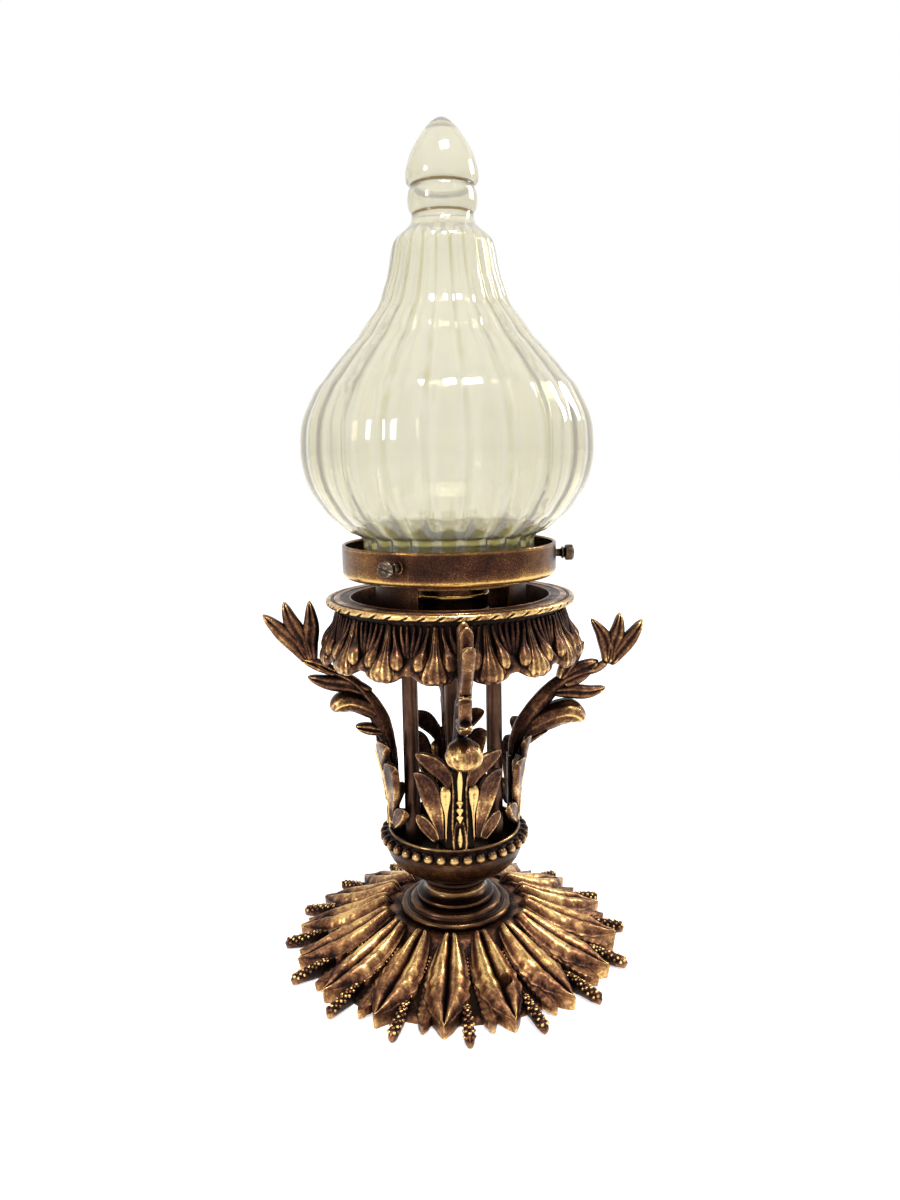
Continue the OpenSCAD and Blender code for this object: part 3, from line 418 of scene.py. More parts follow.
class Graph:
    """Short hand for the nodes of one material or world."""

    def __init__(self, owner: bpy.types.ID) -> None:
        """Clears the owner's nodes.

        Args:
            owner: a material or a world.
        """
        owner.use_nodes = True
        self.tree = owner.node_tree
        self.tree.nodes.clear()

    def add(self, kind: str, **values: object) -> bpy.types.Node:
        """Adds a node.

        Args:
            kind: the node's type, without its ShaderNode prefix.
            values: settings of the node by name, or inputs by name with spaces as underscores;
                an input that is given a socket is linked to it.

        Returns:
            The node.
        """
        node = self.tree.nodes.new("ShaderNode" + kind)
        for key, value in values.items():
            if hasattr(node, key):
                setattr(node, key, value)
                continue
            wanted = key.replace("_", " ")
            socket = next(s for s in node.inputs if s.name == wanted and s.enabled)
            if isinstance(value, bpy.types.NodeSocket):
                self.tree.links.new(value, socket)
            else:
                socket.default_value = value
        return node

    def sum(self, *parts: tuple[object, float], base: float = 0.0) -> bpy.types.NodeSocket:
        """Adds up sockets, each times its own weight, to a base value.

        Args:
            parts: (socket, weight) pairs.
            base: the value that the sum starts from.

        Returns:
            The socket of the sum.
        """
        total: object = base
        for socket, weight in parts:
            node = self.tree.nodes.new("ShaderNodeMath")
            node.operation = "MULTIPLY_ADD"
            self.tree.links.new(socket, node.inputs[0])
            node.inputs[1].default_value = weight
            if isinstance(total, float):
                node.inputs[2].default_value = total
            else:
                self.tree.links.new(total, node.inputs[2])
            total = node.outputs[0]
        return total

    def ramp(self, socket: bpy.types.NodeSocket,
             stops: Sequence[tuple[float, Colour]]) -> bpy.types.NodeSocket:
        """Turns a value into a colour.

        Args:
            socket: the value.
            stops: (place, colour) pairs in rising order.

        Returns:
            The colour socket.
        """
        node = self.add("ValToRGB", Fac=socket)
        band = node.color_ramp
        while len(band.elements) < len(stops):
            band.elements.new(0.5)
        for element, (place, colour) in zip(band.elements, stops):
            element.position = place
            element.color = (*colour, 1.0)
        return node.outputs["Color"]

    def speck(self, size: float, detail: float = 3.0, stretch: Colour = (1, 1, 1),
              roughness: float = 0.55) -> bpy.types.NodeSocket:
        """Uneven pattern on the piece's own coordinates.

        Args:
            size: size of one patch in millimetres.
            detail: finer layers in it.
            stretch: scale along each axis.
            roughness: strength of the finer layers.

        Returns:
            A value round 0.5.
        """
        place = self.add("Mapping", Vector=self.add("TexCoord").outputs["Object"], Scale=stretch)
        return self.add("TexNoise", Vector=place.outputs[0], Scale=1.0 / (size * MM), Detail=detail,
                        Roughness=roughness).outputs["Fac"]

    def attribute_value(self, name: str) -> bpy.types.NodeSocket:
        """Value of the piece's own attribute of that name."""
        return self.add("Attribute", attribute_name=name).outputs["Fac"]


@dataclass(frozen=True)
class Metal:
    """Aged metal: dirt and painted shade in its hollows, a brown skin, bare metal where hands and cloths wear it, and
    painted highlights where a piece asks for them.
    """

    name: str
    slot: str
    # dirt is the colour of the darkest hollows: dirt there, and painted shade
    dirt: Colour
    skin: Colour
    dull: Colour
    bright: Colour
    wear: float = 0.5
    edge_wear: float = 0.35
    hollow_dirt_and_shade: float = 0.75
    blotch: float = 0.5
    blotch_size: float = 14.0
    grain: float = 0.35
    grain_size: float = 1.3
    stretch: Colour = (1.0, 1.0, 1.0)
    shine: tuple[float, float] = (0.62, 0.3)
    bump: float = 0.25
    metallic: float = 0.92

    def material(self) -> bpy.types.Material:
        """Material of this finish, made once."""
        known = bpy.data.materials.get(self.name)
        if known:
            return known
        made = bpy.data.materials.new(self.name)
        g = Graph(made)
        blotch, grain = g.speck(self.blotch_size, 4.0), g.speck(self.grain_size, 3.0, self.stretch)
        # the hollow attribute darkens the colour, as dirt in the hollows and as painted shade; the gilding attribute
        # lightens it, as gold left on the piece and in places as painted highlights
        wear_and_shade = g.sum((g.attribute_value("edge"), self.edge_wear), (g.attribute_value("hollow"), -self.hollow_dirt_and_shade), (g.attribute_value("gilding"), 1.0),
                    (blotch, self.blotch), (grain, self.grain),
                    base=self.wear - (self.blotch + self.grain) / 2)
        colour = g.ramp(wear_and_shade, [(0.0, self.dirt), (0.3, self.skin), (0.62, self.dull), (0.95, self.bright)])
        rough = g.add("MapRange", Value=wear_and_shade, From_Min=0.0, From_Max=0.9,
                      To_Min=self.shine[0], To_Max=self.shine[1])
        relief = g.sum((grain, 0.6), (blotch, 0.4))
        bump = g.add("Bump", Height=relief, Strength=self.bump, Distance=0.6 * MM)
        shader = g.add("BsdfPrincipled", Base_Color=colour, Metallic=self.metallic,
                       Roughness=rough.outputs[0], Normal=bump.outputs[0])
        g.add("OutputMaterial", Surface=shader.outputs[0])
        return made


@dataclass(frozen=True)
class Glass:
    """Pale tinted glass, a little milky, darker where it is seen through its length."""

    name: str
    slot: str
    tint: Colour
    pale: Colour = (0.99, 0.99, 0.975)
    deep: Colour = (0.74, 0.72, 0.46)
    depth_tint: Colour = (0.64, 0.55, 0.06)
    density: float = 170.0
    milk: float = 0.18
    roughness: float = 0.04
    grime: Colour = (0.2, 0.13, 0.04)

    def material(self) -> bpy.types.Material:
        """Material of this finish, made once."""
        known = bpy.data.materials.get(self.name)
        if known:
            return known
        made = bpy.data.materials.new(self.name)
        g = Graph(made)
        streak = g.speck(7.0, 3.0, (1.0, 1.0, 0.06))
        bump = g.add("Bump", Height=streak, Strength=0.1, Distance=0.5 * MM)
        tone = g.sum((g.attribute_value("tone"), 1.0), (streak, 0.9), base=-0.45)
        dirty = g.sum((g.attribute_value("dirt"), 1.6), (g.speck(1.2, 3.0), 1.4), base=-1.3)
        clean = g.ramp(tone, [(0.0, self.pale), (0.45, self.tint), (1.0, self.deep)])
        stain = g.add("MapRange", Value=dirty, From_Min=0.0, From_Max=0.55)
        colour = g.add("MixRGB", Fac=stain.outputs[0], Color1=clean, Color2=(*self.grime, 1.0))
        clear = g.add("MapRange", Value=dirty, From_Min=0.0, From_Max=0.6, To_Min=1.0 - self.milk, To_Max=0.25)
        shader = g.add("BsdfPrincipled", Base_Color=colour.outputs[0], Transmission_Weight=clear.outputs[0],
                       Roughness=self.roughness, IOR=1.48, Normal=bump.outputs[0])
        inside = g.add("VolumeAbsorption", Color=(*self.depth_tint, 1.0), Density=self.density)
        g.add("OutputMaterial", Surface=shader.outputs[0], Volume=inside.outputs[0])
        return made


@dataclass(frozen=True)
class Glaze:
    """Glazed porcelain with a faint grey stain, and darker in its hollows as painted shade."""

    name: str
    slot: str
    colour: Colour

    def material(self) -> bpy.types.Material:
        """Material of this finish, made once."""
        known = bpy.data.materials.get(self.name)
        if known:
            return known
        made = bpy.data.materials.new(self.name)
        g = Graph(made)
        # the colour darkens with a random stain and with the hollow attribute, which is painted shade
        stain = tuple(0.72 * c for c in self.colour)
        colour = g.ramp(g.sum((g.speck(8.0, 4.0), 1.0), (g.attribute_value("hollow"), -0.8)),
                        [(0.2, stain), (0.5, self.colour)])
        shader = g.add("BsdfPrincipled", Base_Color=colour, Roughness=0.18)
        g.add("OutputMaterial", Surface=shader.outputs[0])
        return made


GILT = Metal("aged gilt bronze", "gilt_bronze", dirt=(0.012, 0.006, 0.004), skin=(0.092, 0.035, 0.019),
             dull=(0.27, 0.128, 0.053), bright=(0.78, 0.5, 0.18), wear=0.48, edge_wear=0.75, hollow_dirt_and_shade=1.25,
             blotch=1.15, blotch_size=11.0, grain=0.9, grain_size=1.5, bump=0.3, shine=(0.58, 0.26))
CAST = Metal("dark gilt bronze", "gilt_bronze", dirt=(0.008, 0.004, 0.003), skin=(0.052, 0.0195, 0.011),
             dull=(0.18, 0.083, 0.036), bright=(0.76, 0.49, 0.18), wear=0.36, edge_wear=0.85, hollow_dirt_and_shade=1.15,
             blotch=1.05, blotch_size=10.0, grain=0.8, grain_size=1.3, bump=0.3, shine=(0.52, 0.22))
BOWL = Metal("dark turned bronze", "turned_bronze", dirt=(0.008, 0.004, 0.003), skin=(0.034, 0.0135, 0.008),
             dull=(0.165, 0.083, 0.034), bright=(0.7, 0.46, 0.17), wear=0.3, edge_wear=0.55, hollow_dirt_and_shade=0.6,
             blotch=0.7, grain=0.4, stretch=(0.3, 0.3, 2.0), shine=(0.36, 0.16), bump=0.08)
BRASS = Metal("brown spun brass", "gallery_brass", dirt=(0.012, 0.006, 0.004), skin=(0.052, 0.0195, 0.011),
              dull=(0.19, 0.088, 0.03), bright=(0.6, 0.38, 0.12), wear=0.34, edge_wear=0.5, hollow_dirt_and_shade=0.5,
              blotch=1.2, blotch_size=24.0, grain=0.9, grain_size=0.7, shine=(0.36, 0.2), bump=0.1)
ROD = Metal("brown brass tube", "brown_brass", dirt=(0.01, 0.005, 0.003), skin=(0.04, 0.018, 0.012),
            dull=(0.1, 0.05, 0.028), bright=(0.36, 0.2, 0.08), wear=0.36, edge_wear=0.5, hollow_dirt_and_shade=0.5,
            blotch=0.7, grain=0.5, stretch=(1.0, 1.0, 0.15), shine=(0.46, 0.26), bump=0.12)
STEEL = Metal("browned steel", "dark_steel", dirt=(0.006, 0.004, 0.004), skin=(0.03, 0.018, 0.013),
              dull=(0.085, 0.06, 0.042), bright=(0.42, 0.34, 0.25), wear=0.36, edge_wear=0.6,
              hollow_dirt_and_shade=0.4, shine=(0.42, 0.22), bump=0.15)
UNSEEN = Metal("brass inside", "gallery_brass", dirt=(0.02, 0.01, 0.005), skin=(0.11, 0.055, 0.022),
               dull=(0.34, 0.2, 0.07), bright=(0.7, 0.5, 0.22), wear=0.5, blotch=0.5, bump=0.08)
VASELINE = Glass("pale yellow-green glass", "green_glass", tint=(0.95, 0.95, 0.935))
PORCELAIN = Glaze("glazed porcelain", "porcelain", colour=(0.82, 0.79, 0.72))


# ---------------------------------------------------------------- weathering and painted shade


@dataclass
class WearAndShadeMap:
    """Works out where a piece wears bright and where its hollows darken, and keeps it in its mesh.

    The attribute edge is high on ridges and low in creases. The attribute hollow is the share
    of the surroundings that other metal closes off; it darkens the colour both as dirt gathered
    in the hollows and as painted shade where parts close each other off.
    """

    reach: float = 16.0
    rays: int = 7
    crease: float = 1.1
    tree: BVHTree | None = None
    pieces: list[bpy.types.Object] = field(default_factory=list)

    def gather(self, pieces: Sequence[bpy.types.Object]) -> None:
        """Notes the metal that can close a place off.

        Args:
            pieces: every piece that is weathered.
        """
        verts: list[Vector] = []
        faces: list[list[int]] = []
        for piece in pieces:
            start = len(verts)
            verts.extend(v.co.copy() for v in piece.data.vertices)
            faces.extend([start + i for i in f.vertices] for f in piece.data.polygons)
        self.tree = BVHTree.FromPolygons(verts, faces)
        self.pieces = list(pieces)

    def spread(self) -> list[Vector]:
        """Directions over a half ball round +Z, most of them steep."""
        golden = math.pi * (3 - math.sqrt(5))
        out = []
        for k in range(self.rays):
            rise = math.sqrt(1 - (k + 0.5) / self.rays)
            flat = math.sqrt(1 - rise * rise)
            out.append(Vector((flat * math.cos(k * golden), flat * math.sin(k * golden), rise)))
        return out

    def dress(self) -> None:
        """Writes both attributes on every piece."""
        rays = self.spread()
        for piece in self.pieces:
            mesh = piece.data
            count = len(mesh.vertices)
            place, normal = np.empty(count * 3), np.empty(count * 3)
            mesh.vertices.foreach_get("co", place)
            mesh.vertices.foreach_get("normal", normal)
            place, normal = place.reshape(-1, 3), normal.reshape(-1, 3)
            edge = self.ridges(mesh, place, normal)
            hollow = np.zeros(count)
            for i in range(count):
                up = Vector(normal[i])
                if up.length < 0.5:
                    continue
                turn = up.to_track_quat("Z", "Y")
                start = Vector(place[i]) + up * 0.12 * MM
                shut = 0.0
                for ray in rays:
                    hit = self.tree.ray_cast(start, turn @ ray, self.reach * MM)[3]
                    if hit is not None:
                        shut += 1 - 0.6 * hit / (self.reach * MM)
                hollow[i] = shut / len(rays)
            for name, values in (("edge", edge), ("hollow", self.even(mesh, hollow, 1))):
                layer = mesh.attributes.new(name, "FLOAT", "POINT")
                layer.data.foreach_set("value", values.astype(np.float32))

    def even(self, mesh: bpy.types.Mesh, values: np.ndarray, times: int) -> np.ndarray:
        """Evens values out between neighbouring points.

        Args:
            mesh: the mesh that the values belong to.
            values: one for each vertex.
            times: how often to even them.

        Returns:
            The evened values.
        """
        pairs = np.empty(len(mesh.edges) * 2, dtype=int)
        mesh.edges.foreach_get("vertices", pairs)
        a, b = pairs[0::2], pairs[1::2]
        number = np.bincount(pairs, minlength=len(values)).clip(1)
        for _ in range(times):
            total = (np.bincount(a, values[b], len(values)) + np.bincount(b, values[a], len(values)))
            values = 0.5 * values + 0.5 * total / number
        return values

    def ridges(self, mesh: bpy.types.Mesh, place: np.ndarray, normal: np.ndarray) -> np.ndarray:
        """How far each point stands proud of its neighbours.

        Args:
            mesh: the mesh.
            place: its vertices.
            normal: its vertex normals.

        Returns:
            About 1 on a sharp ridge, 0 on a flat and -1 in a crease.
        """
        pairs = np.empty(len(mesh.edges) * 2, dtype=int)
        mesh.edges.foreach_get("vertices", pairs)
        a, b = pairs[0::2], pairs[1::2]
        step = place[b] - place[a]
        length = np.linalg.norm(step, axis=1).clip(1e-7)
        bend_a = -(normal[a] * step).sum(1) / length ** 2
        bend_b = (normal[b] * step).sum(1) / length ** 2
        weight = length
        count = len(place)
        total = np.bincount(a, bend_a * weight, count) + np.bincount(b, bend_b * weight, count)
        share = (np.bincount(a, weight, count) + np.bincount(b, weight, count)).clip(1e-9)
        bend = self.even(mesh, np.clip(total / share * self.crease * MM, -1.5, 1.5), 1)
        return np.clip(bend * 2.2, -1.0, 1.0)


# ---------------------------------------------------------------- ceiling plate and stem


@dataclass
class CeilingRose:
    """Cast plate of pointed double leaves, with a narrow leaf and a beaded stalk beside each."""

    repeats: int = 16
    first: float = -94.4
    root: float = 33.0
    ridge: float = 38.0
    ridge_height: float = 22.5
    crown: float = 20.5
    tip_height: float = 6.6
    leaf_reach: float = 85.5
    narrow_reach: float = 84.0
    stalk_reach: float = 92.0
    notch: float = 75.0
    foot: float = 57.0
    bore: float = 20.0
    lobe: float = 4.0
    screw_circle: float = 65.3
    screw_turns: tuple[float, float] = (-69.5, 110.5)
    screw_radius: float = 3.25
    widths: tuple[Point, ...] = ((33, 0), (35, 2.6), (38, 4.3), (42, 6.0), (47, 7.7), (53, 9.2), (60, 10.3),
                                 (66, 10.4), (72, 8.9), (77, 5.9), (81, 3.0), (85.5, 0))
    narrow_widths: tuple[Point, ...] = ((44, 0), (50, 1.3), (60, 2.2), (70, 3.2), (76, 3.4), (80, 2.3), (84, 0))
    catkin_widths: tuple[Point, ...] = ((0, 0), (0.1, 0.7), (0.35, 1.5), (0.6, 2.3), (0.85, 2.5), (0.95, 1.8), (1, 0))

    @property
    def step(self) -> float:
        """Angle from one repeat to the next, in degrees."""
        return 360 / self.repeats

    def slope(self, r: float) -> float:
        """Height of the leaves' grooves at radius r."""
        if r < self.ridge:
            return mix(self.crown, self.ridge_height, ease((r - 30) / (self.ridge - 30)))
        u = min(1.0, (r - self.ridge) / (self.leaf_reach - self.ridge))
        return self.tip_height + (self.ridge_height - self.tip_height) * (1 - u) ** 1.5

    def pierced(self, at: Vector) -> Vector:
        """Moves a point of the casting out of the screw holes, or down into one.

        Args:
            at: the point in metres.

        Returns:
            The moved point.
        """
        for turn in self.screw_turns:
            hole = polar(self.screw_circle, turn, 0)
            away = Vector((at.x - hole.x, at.y - hole.y, 0))
            gap = away.length / MM
            if gap < self.screw_radius - 0.2:
                return Vector((at.x, at.y, 0.3 * MM))
            if gap < self.screw_radius + 1.0:
                rim = hole + away.normalized() * (self.screw_radius + 0.05) * MM
                return Vector((rim.x, rim.y, at.z))
        return at

    def leaf(self, turn: float) -> bmesh.types.BMesh:
        """One big leaf with two rounded lobes and a groove between them."""
        def place(t: float, x: float, y: float) -> Vector:
            r = mix(self.root, self.leaf_reach, t)
            half = keyed(self.widths, r) * (1 + 0.06 * math.sin(r * 0.9 + turn * 1.7 + (1.3 if x > 0 else 0.0))
                                            * ease((r - 50) / 12))
            crest = ease(t / 0.13) * (1 - 0.72 * ease((t - 0.7) / 0.28))
            lobe = abs(math.sin(math.pi * min(1.0, abs(x) / 0.84))) ** 0.8
            groove = 1.1 * bump(x, 0.0, 0.1) * ease((r - 38) / 6) * ease((84 - r) / 6)
            top = self.slope(r) + self.lobe * crest * lobe - 0.5 * abs(x) ** 8 - groove
            height = top if y > -1e-6 else max(self.slope(r) - 7, 0.0)
            at = polar(r, turn + math.degrees(x * half / r), height)
            return self.pierced(at + chased(at, 0.35, 5.0) * ease(2 * (1 - abs(x))))
        return lofted(place, 64, 44)

    def lighter_by_place(self, at: Vector) -> float:
        """Gold left on the big leaves: most on the lobes near the flange, and a pale tip where the gold has gone thin.
        """
        r = math.hypot(at.x, at.y) / MM
        return 0.38 * bump(r, 54, 18) + 0.2 * ease((r - 76) / 7) - 0.1

    def narrow_leaf(self, turn: float) -> bmesh.types.BMesh:
        """One narrow saw-edged leaf, low between two big ones."""
        def place(t: float, x: float, y: float) -> Vector:
            r = mix(44, self.narrow_reach, t)
            share = mix(-0.475, -0.31, ease((r - 44) / 32))
            half = keyed(self.narrow_widths, r) * (1 + 0.13 * math.sin(r * 1.9 + turn))
            crease = 1.2 * (1 - abs(x)) ** 0.8 - 0.5 * bump(x, 0.0, 0.2)
            top = self.slope(r) - 1.5 + crease * ease((1 - t) / 0.2)
            height = top if y > -1e-6 else max(self.slope(r) - 6, 0.0)
            at = polar(r, turn + share * self.step + math.degrees(x * half / r), height)
            return at + chased(at, 0.15, 3.0)
        return lofted(place, 24, 40)

    def stalk(self, turn: float) -> Casting:
        """One stalk: a line of beads that ends in a knobbly catkin."""
        made = Casting()
        start = 68.0

        def place(t: float, x: float, y: float) -> Vector:
            r = mix(start, self.stalk_reach, t)
            half = keyed(self.catkin_widths, t)
            middle = mix(self.slope(start) - 1.6, 2.9, ease(t))
            height = middle + y * (half + 0.3) if y > 0 else middle * (1 + y)
            at = polar(r, turn + self.stalk_turn(r) + math.degrees(x * half / r), height)
            return at + chased(at, 0.25, 2.5)

        made.add(lofted(place, 20, 20), gilding=-0.25)
        for n in range(12):
            t = 0.2 + 0.066 * n
            r = mix(start, self.stalk_reach, t)
            half, middle = keyed(self.catkin_widths, t), mix(self.slope(start) - 1.6, 2.9, ease(t))
            for across in ((-0.6, 0.55) if n % 2 else (-0.95, 0.05, 0.9)):
                lift = math.sqrt(max(0.0, 1 - across * across)) * (half + 0.1)
                at = polar(r, turn + self.stalk_turn(r) + math.degrees(across * half / r), middle + lift)
                made.add(bead(at, 0.95, 0.8, segments=8), gilding=-0.38 + 0.3 * math.sin(7 * n + 5 * across + turn))
        r = 47.0
        while r < start:
            at = polar(r, turn + self.stalk_turn(r), self.slope(r) - 1.7)
            made.add(bead(at, 0.8, segments=8), gilding=-0.2)
            r += 1.9
        return made

    def stalk_turn(self, r: float) -> float:
        """Angle from a big leaf's middle to the stalk beside it, at radius r."""
        return mix(0.475, 0.34, ease((r - 47) / 28)) * self.step

    def plate(self) -> bmesh.types.BMesh:
        """The body under the leaves, hollow below."""
        wall = 3.5
        top = [(r, self.slope(r) - 4.5 * ease((r - 33) / 9)) for r in range(33, int(self.notch) + 1, 2)]
        under = [(r, min(self.slope(r) - 7.5, self.crown - wall)) for r in range(54, 37, -4)]
        section = [(self.bore, self.crown), (30, self.crown), *top, (self.notch, 0), (self.foot, 0), *under,
                   (30, self.crown - wall - 0.5), (26, self.crown - wall), (self.bore, self.crown - wall)]
        bm = turned(section, 256)
        for v in bm.verts:
            v.co = self.pierced(v.co)
        return bm

    def build(self) -> list[bpy.types.Object]:
        """Makes the plate with all its leaves and stalks."""
        casting = Casting().add(self.plate())
        for k in range(self.repeats):
            turn = self.first + k * self.step
            casting.add(self.leaf(turn), gilding=self.lighter_by_place).add(self.narrow_leaf(turn), gilding=-0.1)
            casting.merge(self.stalk(turn))
        for v in casting.bm.verts:
            v.co.z = max(v.co.z, 0.0)
        return [casting.finish("leafy_ceiling_plate", GILT, stands_for=["ceiling_rose"], sharp=60)]


@dataclass
class Stem:
    """Turned flange and neck between the ceiling plate and the bowl."""

    bore: float = 5.05

    def build(self) -> list[bpy.types.Object]:
        """Turns both pieces."""
        seat = Seat.of("rose_flange")
        r, z = seat.reach, seat.low
        flange = rounded([(self.bore, z), (r - 1, z), (r, z + 1.2), (r, z + 2.7), (r - 1.2, z + 3.9),
                          (r - 3.2, z + 4.1), (r - 4.4, z + 3.3), (r - 5, z + 4.3), (r - 5.4, z + 5.6),
                          (r - 6.6, z + 6.6), (r - 8.2, seat.high), (self.bore, seat.high)], 0.7, 4)
        seat = Seat.of("stem_neck")
        r, z, h = seat.reach, seat.low, seat.high - seat.low
        neck = rounded([(self.bore, z), (r - 0.5, z), (r, z + 0.1 * h), (r - 0.3, z + 0.19 * h),
                        (r - 1.6, z + 0.23 * h), (r - 3.4, z + 0.27 * h), (r - 4.8, z + 0.37 * h),
                        (r - 5.3, z + 0.48 * h), (r - 4.8, z + 0.58 * h), (r - 3.4, z + 0.69 * h),
                        (r - 2.9, z + 0.78 * h), (r - 3.2, z + 0.87 * h), (r - 4.4, z + 0.93 * h),
                        (r - 4.6, seat.high), (self.bore, seat.high)], 0.6, 4)
        # a band round the waist of the neck is painted lighter: a painted highlight
        band = seat.low + 0.5 * h
        return [Casting().add(turned(flange), gilding=0.1).finish("turned_flange", BOWL, stands_for=["rose_flange"]),
                Casting().add(turned(neck), gilding=lambda at: 0.55 * bump(at.z / MM, band, 3.2)).finish(
                    "turned_neck", BOWL, stands_for=["stem_neck"])]


@dataclass
class Cup:
    """Bowl with its beaded collar."""

    bore: float = 5.05
    floor_radius: float = 28.8
    mouth: float = 33.4
    floor_height: float = 9.0
    beads: int = 36
    bead_radius: float = 2.85

    def build(self) -> list[bpy.types.Object]:
        """Turns the bowl and sets the beads."""
        seat = Seat.of("bowl")
        z, top, r = seat.low, seat.high, seat.reach
        foot = 19.0
        outside = [(foot + (r - foot) * math.sin(a), z + 2 + (top - z - 2) * (1 - math.cos(a)))
                   for a in np.radians(np.arange(0, 91, 6))]
        inside = [(self.floor_radius + (self.mouth - self.floor_radius) * math.sin(a),
                   z + self.floor_height + (top - z - self.floor_height) * (1 - math.cos(a)))
                  for a in np.radians(np.arange(90, -1, -10))]
        bowl = rounded([(self.bore, z), (19.6, z), (20.2, z + 0.5), (20.2, z + 1.1), (19.6, z + 1.7), *outside,
                        *inside, (self.bore, z + self.floor_height)], 0.35)
        seat = Seat.of("bead_collar")
        z, top = seat.low, seat.high
        collar = rounded([(self.mouth, z), (36.6, z), (36.9, z + 1.2), (36.2, z + 4.6), (35.6, z + 5.3),
                          (35.1, z + 5.0), (34.8, z + 5.6), (34.7, top - 0.5), (34.2, top), (self.mouth, top)],
                         0.4, 4)
        ring = Casting().add(turned(collar, 180), gilding=lambda at: 0.5 * ease((at.z / MM - top + 1.6) / 1.2) - 0.15)
        turns = [Side.RIGHT.value + (k + 0.5) * 360 / self.beads for k in range(self.beads)]
        # the beads' outer tips are painted lighter, as gold rubbed bare and as painted glints
        ring.add(bead(polar(36.5, 0, z + 2.9), self.bead_radius, 1.0, 20), turns,
                 gilding=lambda at: 0.5 * ease((math.hypot(at.x, at.y) / MM - 37.9) / 1.3) - 0.22)
        return [Casting().add(turned(bowl)).finish("turned_bowl", BOWL, stands_for=["bowl"]),
                ring.finish("beaded_collar", BOWL, stands_for=["bead_collar"])]


# ---------------------------------------------------------------- leaves and branches


def mirrored(line: Sequence[Point]) -> tuple[Point, ...]:
    """The same line on the other side of a leaf's middle."""
    return tuple((-x, y) for x, y in line)


